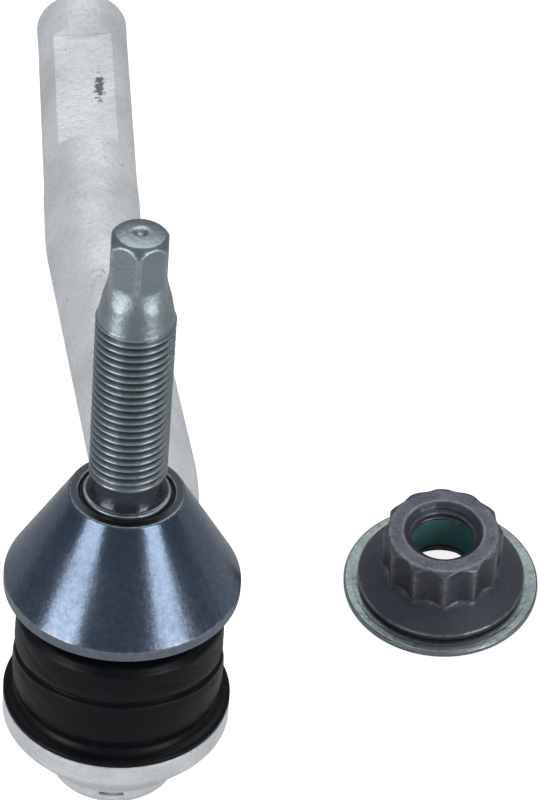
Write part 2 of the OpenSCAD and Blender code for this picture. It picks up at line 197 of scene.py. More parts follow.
class TIEROD_PG_sleeve(PropertyGroup):
    """Sizes of the taper sleeve and its seal."""

    lip_r: length("Lip radius", "Outer radius of the lip", 21.6)
    lip_h: length("Lip height", "Height of the lip", 2.3)
    lip_z: length("Lip foot", "Height of the lip's lower face", 25.87)
    top_z: length("Top height", "Height of the flat top", 47.6)
    top_r: length("Top radius", "Radius of the flat top", 10.4)
    recess_r: length("Recess radius", "Radius of the recess over the boot", 15.0)
    seal_w: length("Seal width", "Width of the seal's groove", 0.7)
    seal_h: length("Seal height", "Depth of the seal's groove", 1.8)
    plate: colour("Plated steel", "Colour of the taper", (0.105, 0.145, 0.215))
    land: colour("Land", "Colour of the flat top", (0.085, 0.095, 0.11))
    lip: colour("Bare lip", "Colour of the lip", (0.25, 0.275, 0.31))
    rubber: colour("Seal rubber", "Colour of the seal", (0.012, 0.012, 0.013))


class TIEROD_PG_boot(PropertyGroup):
    """Sizes of the rubber boot."""

    flange_r: length("Flange radius", "Outer radius of the flange", 21.2)
    flange_t: length("Flange thickness", "Thickness of the flange", 1.3)
    body_r: length("Body radius", "Mean radius of the folds", 19.2)
    wall: length("Wall", "Thickness of the rubber", 1.5)
    bead_top: length("Bead top", "Height of the upper bead's top", 25.17)
    bead_r: length("Bead radius", "Outer radius of the upper bead", 12.2)
    bead_h: length("Bead height", "Height of the upper bead", 3.6)
    rubber: colour("Rubber", "Colour of the boot", (0.0025, 0.0028, 0.0045))


class TIEROD_PG_nut(PropertyGroup):
    """Sizes of the flange nut, its washer and its locking patch."""

    width: length("Across flats", "Width across the flats of the twelve-point head", 21.0)
    foot: length("Flange foot", "Height of the flange's underside", 1.8)
    height: length("Height", "Height of the nut above its underside", 14.0)
    flange_r: length("Flange radius", "Radius of the flange", 16.7)
    edge_h: length("Edge height", "Height of the flange's edge", 1.4)
    cone_h: length("Cone height", "Height of the flange where it meets the head", 4.6)
    major_r: length("Thread radius", "Radius of the thread's grooves", 7.0)
    mouth: length("Countersink", "Width of the countersink", 1.5)
    patch_l: length("Patch length", "Length of the locking patch", 7.3)
    patch_in: length("Patch depth", "Depth of the patch below the countersink", 2.2)
    hub_r: length("Hub radius", "Radius of the hub under the flange", 9.4)
    washer_r: length("Washer radius", "Outer radius of the captive washer", 19.5)
    washer_t: length("Washer thickness", "Thickness of the captive washer", 1.5)
    phosphate: colour("Phosphate", "Colour of the nut", (0.115, 0.118, 0.145))
    worn: colour("Worn edge", "Colour of the rubbed edges", (0.36, 0.37, 0.40))
    zinc: colour("Zinc flake", "Colour of the washer", (0.27, 0.32, 0.32))
    nylon: colour("Nylon", "Colour of the locking patch", (0.12, 0.33, 0.32))


def sizes(group):
    """The group's values by name, with each length turned from metres into millimetres."""
    values = SimpleNamespace()
    for prop in group.bl_rna.properties:
        if prop.identifier in {"rna_type", "name"}:
            continue
        value = getattr(group, prop.identifier)
        if getattr(prop, "unit", "NONE") == "LENGTH":
            value = value / MM
        elif getattr(prop, "is_array", False):
            value = (*value, 1.0)
        setattr(values, prop.identifier, value)
    return values


# ---------------------------------------------------------------- shapes


def joint_place(points):
    """Joint frame, in millimetres, to the row frame in metres: ball + x * tilt axis + y * cross axis
    + z * stud axis."""
    return BALL + points @ JOINT_AXES * MM


def nut_place(points):
    """Nut frame, in millimetres, to the row frame in metres."""
    return NUT + points * MM


def round_angles(count):
    """One row of evenly spaced angles round a full turn."""
    return np.linspace(0.0, 2.0 * math.pi, count, endpoint=False)[None, :]


def polar(radius, height, angle):
    """Grid of points: (radius * cos angle, radius * sin angle, height)."""
    return np.stack(np.broadcast_arrays(radius * np.cos(angle), radius * np.sin(angle), height), -1)


def rounded(points, cut=0.3, steps=4, closed=False):
    """Profile with rounded corners. A corner P between A and B becomes the curve
    (1-t)^2 A' + 2t(1-t) P + t^2 B', where A' and B' lie a cut's length away from P, or 0.3 of the
    shorter side if that is less. One more point on each side lies half as far again from P."""
    p = np.asarray(points, float)
    if closed:
        p = np.concatenate([p[-1:], p, p[:1]])
    before, corner, after = p[:-2], p[1:-1], p[2:]
    back, ahead = before - corner, after - corner
    back_l = np.linalg.norm(back, axis=1, keepdims=True)
    ahead_l = np.linalg.norm(ahead, axis=1, keepdims=True)
    reach = np.minimum(cut, 0.3 * np.minimum(back_l, ahead_l))
    back, ahead = back / back_l, ahead / ahead_l
    t = np.linspace(0.0, 1.0, steps)[:, None, None]
    arc = ((1 - t) ** 2 * (corner + back * reach) + 2 * t * (1 - t) * corner
           + t ** 2 * (corner + ahead * reach))
    rows = np.concatenate([(corner + back * reach * 1.5)[None], arc, (corner + ahead * reach * 1.5)[None]])
    rows = rows.transpose(1, 0, 2).reshape(-1, 2)
    return rows if closed else np.concatenate([p[:1], rows, p[-1:]])


def finer(points, step):
    """The profile with evenly spaced points added wherever a stretch is longer than step."""
    p = np.asarray(points, float)
    a, b = p[:-1], p[1:]
    count = np.maximum(1, np.ceil(np.linalg.norm(b - a, axis=1) / step).astype(int))
    index = np.repeat(np.arange(len(count)), count)
    t = (np.arange(count.sum()) - np.repeat(np.cumsum(count) - count, count)) / np.repeat(count, count)
    return np.concatenate([a[index] + (b[index] - a[index]) * t[:, None], p[-1:]])


def finer_ring(points, step):
    """The closed profile with points added as in finer, and its first point not repeated."""
    return finer(np.concatenate([points, points[:1]]), step)[:-1]


def smooth_step(low, high, x):
    """0 below low, 1 above high, and 3t^2 - 2t^3 between them."""
    t = np.clip((x - low) / (high - low), 0.0, 1.0)
    return t * t * (3.0 - 2.0 * t)


def soft_min(a, b, reach):
    """The smaller of a and b, rounded where they are closer than reach: min(a, b) - h^2 / (4 reach),
    where h = reach - |a - b|."""
    h = np.maximum(reach - np.abs(a - b), 0.0)
    return np.minimum(a, b) - h * h / (4.0 * reach)


def soft_max(a, b, reach):
    """The larger of a and b, rounded where they are closer than reach."""
    return -soft_min(-a, -b, reach)


def thread(height, angle, pitch):
    """Thread height from 0 at a root to 1 at a crest: a wave of height / pitch - angle / full turn
    with straight sides, a flat crest and a rounded root."""
    phase = height / pitch - angle / (2.0 * math.pi)
    wave = 1.0 - np.abs(2.0 * (phase - np.floor(phase)) - 1.0)
    return smooth_step(0.12, 0.9, wave) * 0.55 + np.clip((wave - 0.15) / 0.7, 0.0, 1.0) * 0.45


def polygon_radius(angle, width, corners, first):
    """Distance to a regular polygon's side: (width / 2) / cos of the angle from the nearest side's
    middle."""
    step = 2.0 * math.pi / corners
    return width / 2.0 / np.cos(np.mod(angle - first, step) - step / 2.0)


def wavy(angle, height, seed, waves):
    """Gentle unevenness from -1 to 1: the mean of sines of whole turns, each bent by a slow sine of
    the height, with phases fixed by the seed."""
    rng = np.random.default_rng(seed)
    total = 0.0
    for turns in waves:
        phase_a, phase_b = rng.uniform(0, 2 * math.pi, 2)
        bend = 0.35 * np.sin(height * rng.uniform(0.2, 0.7) + phase_b)
        total = total + np.sin(turns * angle + phase_a + bend)
    return total / len(waves)


def finish_mesh(name, points, place, ring=False):
    """Piece from a grid of points. Rows run along the profile and columns round it, and quads join
    neighbours. Rows that have shrunk to a pole are merged, and faces are turned outwards."""
    rows, columns, _ = points.shape
    i = np.arange(rows if ring else rows - 1)[:, None]
    j = np.arange(columns)[None, :]
    low, high = i * columns, (i + 1) % rows * columns
    following = (j + 1) % columns
    quads = np.stack(np.broadcast_arrays(low + j, low + following, high + following, high + j), -1)
    around = np.stack(np.broadcast_arrays(j + 0 * i, j + 1 + 0 * i, j + 1 + 0 * i, j + 0 * i), -1) / columns
    along = np.stack(np.broadcast_arrays(i + 0 * j, i + 0 * j, i + 1 + 0 * j, i + 1 + 0 * j), -1) / rows
    quads = quads.reshape(-1, 4)
    uv = np.stack([around.reshape(-1, 4), along.reshape(-1, 4)], -1)
    flat = points.reshape(-1, 3)
    a, b, c, d = (flat[quads[:, k]] for k in range(4))
    volume = np.einsum("ij,ij->i", a, np.cross(b, c) + np.cross(c, d)).sum()
    if volume < 0:
        quads, uv = quads[:, ::-1], uv[:, ::-1]
    mesh = bpy.data.meshes.new(name)
    mesh.from_pydata(place(flat), [], quads.tolist())
    layer = mesh.uv_layers.new(name="Round")
    layer.data.foreach_set("uv", np.ascontiguousarray(uv, np.float32).ravel())
    weld = bmesh.new()
    weld.from_mesh(mesh)
    bmesh.ops.remove_doubles(weld, verts=weld.verts, dist=2e-7)
    bmesh.ops.dissolve_degenerate(weld, edges=weld.edges, dist=1e-8)
    weld.to_mesh(mesh)
    weld.free()
    mesh.shade_smooth()
    piece = bpy.data.objects.new(name, mesh)
    bpy.context.scene.collection.objects.link(piece)
    return piece


def turned_mesh(name, profile, columns, place, ring=False):
    """Piece turned from a profile of radius and height."""
    return finish_mesh(name, polar(profile[:, :1], profile[:, 1:], round_angles(columns)), place, ring)


def box_mesh(name, low, high, place):
    """Box cutter between two corners: two square rows, each closed to a point in its middle."""
    x0, y0, z0 = low
    x1, y1, z1 = high
    middle = [(x0 + x1) / 2, (y0 + y1) / 2]
    ring = np.array([[x0, y0], [x1, y0], [x1, y1], [x0, y1]])
    rows = [np.tile(middle, (4, 1)), ring, ring, np.tile(middle, (4, 1))]
    heights = [z0, z0, z1, z1]
    grid = np.stack([np.column_stack([row, np.full(4, z)]) for row, z in zip(rows, heights)])
    return finish_mesh(name, grid, place)


def join_solids(piece, tool, operation):
    """Unites the piece with the tool, or cuts it with the tool, and removes the tool."""
    change = piece.modifiers.new("join", "BOOLEAN")
    change.operation = operation
    change.solver = "MANIFOLD"
    change.object = tool
    graph = bpy.context.evaluated_depsgraph_get()
    mesh = bpy.data.meshes.new_from_object(piece.evaluated_get(graph))
    piece.modifiers.clear()
    used = piece.data
    piece.data = mesh
    bpy.data.meshes.remove(used)
    cutter = tool.data
    bpy.data.objects.remove(tool)
    bpy.data.meshes.remove(cutter)
    if len(piece.data.polygons) == 0:
        raise RuntimeError(f"{piece.name} is empty after {operation}")
    return piece


def mark_wear(piece, reach, rounds=2):
    """Stores how proud each vertex stands, as the attribute "wear": ((vertex - mean of its
    neighbours) . normal) / reach, averaged with the neighbours a few times and times the gain."""
    gain = 1.6
    mesh = piece.data
    count = len(mesh.vertices)
    co = np.zeros(count * 3, np.float32)
    mesh.vertices.foreach_get("co", co)
    co = co.reshape(-1, 3).astype(float)
    normal = np.zeros(count * 3, np.float32)
    mesh.vertex_normals.foreach_get("vector", normal)
    normal = normal.reshape(-1, 3)
    edges = np.zeros(len(mesh.edges) * 2, np.int32)
    mesh.edges.foreach_get("vertices", edges)
    ends = np.concatenate([edges.reshape(-1, 2), edges.reshape(-1, 2)[:, ::-1]])
    degree = np.maximum(np.bincount(ends[:, 0], minlength=count), 1)

    def mean(values):
        return np.bincount(ends[:, 0], weights=values[ends[:, 1]], minlength=count) / degree

    middle = np.stack([mean(co[:, k]) for k in range(3)], 1)
    wear = np.clip(((co - middle) * normal).sum(1) / (reach * MM), 0.0, 1.0)
    for _ in range(rounds):
        wear = 0.5 * wear + 0.5 * mean(wear)
    store(piece, "wear", np.clip(wear * gain, 0, 1))


def store(piece, name, values):
    """Stores one number per vertex as an attribute."""
    attribute = piece.data.attributes.new(name, "FLOAT", "POINT")
    attribute.data.foreach_set("value", np.asarray(values, np.float32))


def vertices_in(piece, origin, axes):
    """The piece's vertices in another frame, in millimetres."""
    co = np.zeros(len(piece.data.vertices) * 3, np.float32)
    piece.data.vertices.foreach_get("co", co)
    return (co.reshape(-1, 3) - origin) @ axes.T / MM


def stand_in(piece, body, slot, *nodes):
    """The piece stands for the CAD nodes, which it hides, and, if a body is given, rides on it. The slot is not
    used.
    """
    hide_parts(*nodes)
    if body:
        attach(piece, body)


# ---------------------------------------------------------------- materials


def add(tree, kind, inputs=None, **settings):
    """Adds a node, sets it, and links or fills its inputs."""
    node = tree.nodes.new(kind)
    for key, value in settings.items():
        setattr(node, key, value)
    for key, value in (inputs or {}).items():
        if isinstance(value, bpy.types.NodeSocket):
            tree.links.new(value, node.inputs[key])
        else:
            node.inputs[key].default_value = value
    return node


def math_node(tree, operation, a, b=0.0, clamp=False):
    """One Math node's value."""
    return add(tree, "ShaderNodeMath", {0: a, 1: b}, operation=operation, use_clamp=clamp).outputs[0]


def blend_colours(tree, factor, a, b):
    """Colour a where the factor is 0 and colour b where it is 1."""
    node = add(tree, "ShaderNodeMix", data_type="RGBA")
    for socket, value in ((node.inputs[0], factor), (node.inputs[6], a), (node.inputs[7], b)):
        if isinstance(value, bpy.types.NodeSocket):
            tree.links.new(value, socket)
        else:
            socket.default_value = value
    return node.outputs[2]


def spread(tree, value, low, high, to_low=0.0, to_high=1.0):
    """The value's range from low to high mapped to another range, and held at its ends."""
    return add(tree, "ShaderNodeMapRange", {"Value": value, "From Min": low, "From Max": high,
                                            "To Min": to_low, "To Max": to_high}).outputs["Result"]


def new_group(name, inputs, outputs):
    """Empty shader group with named inputs and outputs."""
    group = bpy.data.node_groups.new(name, "ShaderNodeTree")
    for label, kind, default in inputs:
        socket = group.interface.new_socket(label, in_out="INPUT", socket_type=kind)
        socket.default_value = default
    for label, kind in outputs:
        group.interface.new_socket(label, in_out="OUTPUT", socket_type=kind)
    return group, group.nodes.new("NodeGroupInput").outputs, group.nodes.new("NodeGroupOutput").inputs


def grain_group():
    """Grain and mottling of a blasted, coated or moulded surface, on Object coordinates."""
    name = "Surface Grain"
    if name in bpy.data.node_groups:
        return bpy.data.node_groups[name]
    group, given, result = new_group(
        name,
        [("Colour", "NodeSocketColor", (0.5, 0.5, 0.5, 1)),
         ("Dark Colour", "NodeSocketColor", (0.2, 0.2, 0.2, 1)),
         ("Grain Scale", "NodeSocketFloat", 1500.0), ("Patch Scale", "NodeSocketFloat", 90.0),
         ("Patchiness", "NodeSocketFloat", 0.3), ("Speckle", "NodeSocketFloat", 0.3),
         ("Roughness", "NodeSocketFloat", 0.45), ("Roughness Spread", "NodeSocketFloat", 0.1)],
        [("Colour", "NodeSocketColor"), ("Roughness", "NodeSocketFloat"), ("Height", "NodeSocketFloat")])
    where = add(group, "ShaderNodeTexCoord").outputs["Object"]
    fine = add(group, "ShaderNodeTexNoise", {"Vector": where, "Scale": given["Grain Scale"], "Detail": 3.0,
                                             "Roughness": 0.62}).outputs[0]
    pits = add(group, "ShaderNodeTexVoronoi", {"Vector": where,
               "Scale": math_node(group, "MULTIPLY", given["Grain Scale"], 0.45)}).outputs["Distance"]
    patches = add(group, "ShaderNodeTexNoise", {"Vector": where, "Scale": given["Patch Scale"], "Detail": 5.0,
                                                "Roughness": 0.6, "Distortion": 0.4}).outputs[0]
    speck = spread(group, fine, 0.5, 0.72)
    patch = spread(group, patches, 0.4, 0.68)
    dark = math_node(group, "ADD", math_node(group, "MULTIPLY", speck, given["Speckle"]),
                     math_node(group, "MULTIPLY", patch, given["Patchiness"]), clamp=True)
    group.links.new(blend_colours(group, dark, given["Colour"], given["Dark Colour"]), result["Colour"])
    swing = math_node(group, "SUBTRACT", math_node(group, "ADD", speck, patch), 0.8)
    rough = math_node(group, "ADD", given["Roughness"],
                      math_node(group, "MULTIPLY", swing, given["Roughness Spread"]), clamp=True)
    group.links.new(rough, result["Roughness"])
    height = math_node(group, "ADD", fine, math_node(group, "MULTIPLY", pits, 0.7))
    group.links.new(height, result["Height"])
    return group


def wear_group():
    """Rubbed edges: the stored wear, broken up by noise, lifts the colour to the bare one."""
    name = "Edge Wear"
    if name in bpy.data.node_groups:
        return bpy.data.node_groups[name]
    group, given, result = new_group(
        name,
        [("Colour", "NodeSocketColor", (0.2, 0.2, 0.2, 1)),
         ("Bare Colour", "NodeSocketColor", (0.5, 0.5, 0.5, 1)),
         ("Amount", "NodeSocketFloat", 0.6), ("Break Up", "NodeSocketFloat", 900.0)],
        [("Colour", "NodeSocketColor")])
    where = add(group, "ShaderNodeTexCoord").outputs["Object"]
    noise = add(group, "ShaderNodeTexNoise", {"Vector": where, "Scale": given["Break Up"],
                                              "Detail": 3.0}).outputs[0]
    stored = add(group, "ShaderNodeAttribute", attribute_name="wear").outputs["Fac"]
    mask = math_node(group, "MULTIPLY", stored, spread(group, noise, 0.3, 0.62, 0.25, 1.0))
    mask = math_node(group, "MULTIPLY", mask, given["Amount"], clamp=True)
    group.links.new(blend_colours(group, mask, given["Colour"], given["Bare Colour"]), result["Colour"])
    return group


def turned_group():
    """Fine marks of a lathe tool: noise on the piece's own map, stretched round the turning axis."""
    name = "Turning Marks"
    if name in bpy.data.node_groups:
        return bpy.data.node_groups[name]
    group, given, result = new_group(
        name,
        [("Marks", "NodeSocketFloat", 220.0), ("Stretch", "NodeSocketFloat", 3.0)],
        [("Height", "NodeSocketFloat")])
    where = add(group, "ShaderNodeUVMap", uv_map="Round").outputs[0]
    scale = add(group, "ShaderNodeCombineXYZ", {0: given["Stretch"], 1: given["Marks"]}).outputs[0]
    stretched = add(group, "ShaderNodeVectorMath", {0: where, 1: scale}, operation="MULTIPLY").outputs[0]
    noise = add(group, "ShaderNodeTexNoise", {"Vector": stretched, "Scale": 1.0, "Detail": 2.0}).outputs[0]
    group.links.new(noise, result["Height"])
    return group


def place_group(tree, group, values):
    """Places a group in a tree with its own values."""
    node = add(tree, "ShaderNodeGroup", node_tree=group)
    for key, value in values.items():
        if isinstance(value, bpy.types.NodeSocket):
            tree.links.new(value, node.inputs[key])
        else:
            node.inputs[key].default_value = value
    return node.outputs


def new_material(name, metallic, colour_value, **constants):
    """Material with one Principled shader, whose constant values sit on its own sockets."""
    material = bpy.data.materials.new(name)
    material.use_nodes = True
    material.diffuse_color = colour_value
    tree = material.node_tree
    tree.nodes.clear()
    shader = add(tree, "ShaderNodeBsdfPrincipled", {"Metallic": metallic, **constants})
    output = add(tree, "ShaderNodeOutputMaterial")
    tree.links.new(shader.outputs[0], output.inputs[0])
    return material, tree, shader.inputs


def attribute(tree, name):
    """A stored number of the piece."""
    return add(tree, "ShaderNodeAttribute", attribute_name=name).outputs["Fac"]


def bump(tree, height, strength, distance):
    """Normal bumped by a height."""
    return add(tree, "ShaderNodeBump", {"Height": height, "Strength": strength,
                                        "Distance": distance}).outputs[0]


def finish_shader(tree, shader, tint, rough, height, strength, distance=0.0002):
    """Links a colour, a roughness and a bump of a height to the shader."""
    tree.links.new(tint, shader["Base Color"])
    tree.links.new(rough, shader["Roughness"])
    tree.links.new(bump(tree, height, strength, distance), shader["Normal"])


def darker(value, factor):
    """The colour times a factor."""
    return (*(c * factor for c in value[:3]), 1.0)


def blasted_aluminium(v):
    """Shot-blasted forging: pale satin grains, soft grey patches, a dark scuff on the upper flat and painted shade
    on the walls of the notch."""
    material, tree, shader = new_material("blasted_aluminium", 0.3, v.blasted)
    grain = place_group(tree, grain_group(), {
        "Colour": v.blasted, "Dark Colour": darker(v.blasted, 0.58), "Grain Scale": 1300.0,
        "Patch Scale": 55.0, "Patchiness": 0.5, "Speckle": 0.34, "Roughness": v.roughness,
        "Roughness Spread": 0.10})
    where = add(tree, "ShaderNodeTexCoord").outputs["Object"]
    # The scuff joined with the notch's walls, where the dark colour is painted shade.
    scuff = math_node(tree, "MAXIMUM", scuff_mask(tree, where, v.shank_turn), attribute(tree, "grime"))
    stain_and_notch_shade = blend_colours(tree, scuff, grain["Colour"], v.stain_and_notch_shade)
    specks = add(tree, "ShaderNodeTexNoise", {"Vector": where, "Scale": 420.0, "Detail": 2.0}).outputs[0]
    seeds = spread(tree, specks, 0.72, 0.78, 0.0, 0.55)
    tint = blend_colours(tree, seeds, stain_and_notch_shade, darker(v.blasted, 0.35))
    finish_shader(tree, shader, tint, grain["Roughness"], grain["Height"], 0.55, 0.0003)
    return material


def scuff_mask(tree, where, heading):
    """Ragged dark scuff beside the middle of the wrench flat: the distance from its centre, measured
    in its own three sizes and broken up by noise."""
    flat = MOUNTS["arm_wrench_flat"]["pos_m"]
    right, ahead = 3.1 * MM, 0.4 * MM
    scuff_size = (1.3 * MM, 5.2 * MM, 1.5 * MM)
    reach = add(tree, "ShaderNodeMapping", {
        "Vector": where, "Location": (flat[0] + right, flat[1] + ahead, flat[2]),
        "Rotation": (0.0, 0.0, heading), "Scale": scuff_size}, vector_type="TEXTURE")
    away = add(tree, "ShaderNodeVectorMath", {0: reach.outputs[0]}, operation="LENGTH").outputs["Value"]
    ragged = add(tree, "ShaderNodeTexNoise", {"Vector": where, "Scale": 900.0, "Detail": 3.0,
                                              "Roughness": 0.7}).outputs[0]
    broken = math_node(tree, "ADD", away, math_node(tree, "MULTIPLY", ragged, -2.6))
    return spread(tree, broken, -0.75, -0.35, 0.9, 0.0)


def stud_steel(v):
    """Zinc flake on steel: rubbed crests, painted shade in the thread's roots, and a glossy fillet under the
    thread painted dark as shade and reflection.
    """
    material, tree, shader = new_material("zinc_flake_stud", 0.9, v.coat)
    grain = place_group(tree, grain_group(), {
        "Colour": v.coat, "Dark Colour": darker(v.coat, 0.55), "Grain Scale": 1900.0,
        "Patch Scale": 160.0, "Patchiness": 0.35, "Speckle": 0.3, "Roughness": 0.36,
        "Roughness Spread": 0.09})
    # Painted shade: the thread's roots darken to a fifth of the coat's colour, most at the groove's bottom.
    root_shaded = blend_colours(tree, attribute(tree, "root"), grain["Colour"], darker(v.coat, 0.22))
    worn = place_group(tree, wear_group(), {"Colour": root_shaded, "Bare Colour": v.crest, "Amount": 0.9})
    # Painted shade and reflection: the fillet under the thread takes a dark colour; its lower roughness is real
    # gloss.
    oiled = attribute(tree, "oiled")
    tint = blend_colours(tree, oiled, worn["Colour"], v.oiled)
    gloss = spread(tree, oiled, 0.0, 1.0, 1.0, 0.28)
    rough = math_node(tree, "MULTIPLY", grain["Roughness"], gloss)
    finish_shader(tree, shader, tint, rough, grain["Height"], 0.25)
    return material


def sleeve_steel(v):
    """Dark blue-grey plating on a turned taper, with a darker land, a paler lip and a speckled sheen."""
    material, tree, shader = new_material("plated_sleeve", 1.0, v.plate)
    grain = place_group(tree, grain_group(), {
        "Colour": v.plate, "Dark Colour": darker(v.plate, 0.7), "Grain Scale": 2400.0, "Patch Scale": 60.0,
        "Patchiness": 0.3, "Speckle": 0.3, "Roughness": 0.235, "Roughness Spread": 0.09})
    land = attribute(tree, "land")
    tone = blend_colours(tree, land, grain["Colour"], v.land)
    tone = blend_colours(tree, attribute(tree, "lip"), tone, v.lip)
    worn = place_group(tree, wear_group(), {
        "Colour": tone, "Bare Colour": (0.5, 0.54, 0.6, 1.0), "Amount": 0.7})
    rough = math_node(tree, "ADD", grain["Roughness"], math_node(tree, "MULTIPLY", land, 0.16), clamp=True)
    marks = place_group(tree, turned_group(), {"Marks": 260.0, "Stretch": 4.0})["Height"]
    height = math_node(tree, "ADD", grain["Height"], math_node(tree, "MULTIPLY", marks, 0.3))
    finish_shader(tree, shader, worn["Colour"], rough, height, 0.13, 0.0001)
    return material


def rubber(name, tint, roughness):
    """Moulded rubber: nearly black, with a faint bloom in patches and a soft sheen."""
    material, tree, shader = new_material(name, 0.0, tint, **{"Specular IOR Level": 0.2})
    grain = place_group(tree, grain_group(), {
        "Colour": tint, "Dark Colour": (*(min(1.0, c * 1.9 + 0.004) for c in tint[:3]), 1.0),
        "Grain Scale": 900.0, "Patch Scale": 110.0, "Patchiness": 0.4, "Speckle": 0.3,
        "Roughness": roughness, "Roughness Spread": 0.1})
    finish_shader(tree, shader, grain["Colour"], grain["Roughness"], grain["Height"], 0.2)
    return material


def phosphated_steel(v):
    """Dark phosphate with a purple cast, fine crystals, and edges rubbed bright."""
    material, tree, shader = new_material("phosphated_nut", 0.75, v.phosphate)
    grain = place_group(tree, grain_group(), {
        "Colour": v.phosphate, "Dark Colour": darker(v.phosphate, 0.5), "Grain Scale": 1700.0,
        "Patch Scale": 220.0, "Patchiness": 0.4, "Speckle": 0.4, "Roughness": 0.40,
        "Roughness Spread": 0.12})
    worn = place_group(tree, wear_group(), {"Colour": grain["Colour"], "Bare Colour": v.worn, "Amount": 1.0,
                                            "Break Up": 700.0})
    finish_shader(tree, shader, worn["Colour"], grain["Roughness"], grain["Height"], 0.35)
    return material


def washer_zinc(v):
    """Pressed washer: greenish zinc flake with streaks that run outwards from the hub."""
    material, tree, shader = new_material("zinc_washer", 0.85, v.zinc)
    grain = place_group(tree, grain_group(), {
        "Colour": v.zinc, "Dark Colour": darker(v.zinc, 0.5), "Grain Scale": 1500.0, "Patch Scale": 180.0,
        "Patchiness": 0.4, "Speckle": 0.3, "Roughness": 0.38, "Roughness Spread": 0.1})
    streaks = place_group(tree, turned_group(), {"Marks": 6.0, "Stretch": 110.0})["Height"]
    streaked = spread(tree, streaks, 0.5, 0.75, 0.0, 0.5)
    tone = blend_colours(tree, streaked, grain["Colour"], darker(v.zinc, 0.45))
    worn = place_group(tree, wear_group(), {
        "Colour": tone, "Bare Colour": (0.5, 0.54, 0.55, 1.0), "Amount": 0.8})
    height = math_node(tree, "ADD", grain["Height"], math_node(tree, "MULTIPLY", streaks, 1.2))
    finish_shader(tree, shader, worn["Colour"], grain["Roughness"], height, 0.3)
    return material


def plastic(name, tint, roughness):
    """Moulded plastic with a faint unevenness of tone."""
    material, tree, shader = new_material(name, 0.0, tint)
    grain = place_group(tree, grain_group(), {
        "Colour": tint, "Dark Colour": darker(tint, 0.75), "Grain Scale": 1200.0, "Patch Scale": 150.0,
        "Patchiness": 0.3, "Speckle": 0.15, "Roughness": roughness, "Roughness Spread": 0.08})
    finish_shader(tree, shader, grain["Colour"], grain["Roughness"], grain["Height"], 0.12)
    return material


def plain_steel(name, tint):
    """Plain spring or ring steel with a fine grain."""
    material, tree, shader = new_material(name, 1.0, tint)
    grain = place_group(tree, grain_group(), {
        "Colour": tint, "Dark Colour": darker(tint, 0.6), "Grain Scale": 1600.0, "Patch Scale": 140.0,
        "Patchiness": 0.35, "Speckle": 0.25, "Roughness": 0.34, "Roughness Spread": 0.1})
    finish_shader(tree, shader, grain["Colour"], grain["Roughness"], grain["Height"], 0.2)
    return material


# ---------------------------------------------------------------- forging


def bowl_profile(h):
    """Outside of the bowl from its foot to the seat: rounded boss, upright side, fillet, slanted bowl
    and rim."""
    low = -h.boss_depth + h.boss_round + h.boss_side
    top = h.seat_z - h.rim_depth
    a = np.radians(np.arange(-90.0, 1.0, 15.0))
    foot = np.column_stack([h.boss_r - h.boss_round + h.boss_round * np.cos(a),
                            -h.boss_depth + h.boss_round + h.boss_round * np.sin(a)])
    bowl = [[h.boss_r, low], [h.boss_r + h.bowl_fillet * 0.3, low + h.bowl_fillet * 0.4],
            [h.boss_r + h.bowl_fillet, low + h.bowl_fillet], [h.rim_r - 0.6, top - 1.0], [h.rim_r, top]]
    rim = [[h.rim_r, h.seat_z - 0.4], [h.rim_r - 0.4, h.seat_z]]
    return np.concatenate([[[0.0, -h.boss_depth]], foot, bowl, rim])


def signed_distance(profile, radius, height):
    """Distance from points to a closed profile, negative inside: the least distance to any side, with the
    sign from the number of sides that a level ray crosses."""
    a = profile
    b = np.roll(profile, -1, axis=0)
    side = b - a
    dr = radius[..., None] - a[:, 0]
    dz = height[..., None] - a[:, 1]
    t = np.clip((dr * side[:, 0] + dz * side[:, 1]) / (side ** 2).sum(1), 0.0, 1.0)
    gap = np.hypot(dr - t * side[:, 0], dz - t * side[:, 1]).min(-1)
    spans = (a[:, 1] > height[..., None]) != (b[:, 1] > height[..., None])
    rise = np.where(side[:, 1] == 0, 1e-9, side[:, 1])
    crossed = spans & (dr < (height[..., None] - a[:, 1]) * side[:, 0] / rise)
    return np.where(crossed.sum(-1) % 2 == 1, -gap, gap)


def arm_centre_line(v, station):
    """Plan position and heading at a distance along the arm. The heading is straight, turns evenly through
    each bend, and the position is the running sum of (-sin heading, cos heading)."""
    first = v.bend_r * abs(v.crank_turn - v.root_turn)
    second = v.bend_r * abs(v.crank_turn - v.shank_turn)
    knots = np.cumsum([0.0, v.root_l, first, v.crank_l, second, v.shank_l])
    turns = [v.root_turn, v.root_turn, v.crank_turn, v.crank_turn, v.shank_turn, v.shank_turn]
    s = np.linspace(0.0, knots[-1], 4001)
    heading = np.interp(s, knots, turns)
    step = np.column_stack([-np.sin(heading), np.cos(heading)])
    middle = (step[1:] + step[:-1]) / 2 * (s[1] - s[0])
    line = np.concatenate([[[0.0, 0.0]], np.cumsum(middle, axis=0)])
    at = np.column_stack([np.interp(station, s, line[:, 0]), np.interp(station, s, line[:, 1])])
    return at, np.interp(station, s, heading), knots[-1]


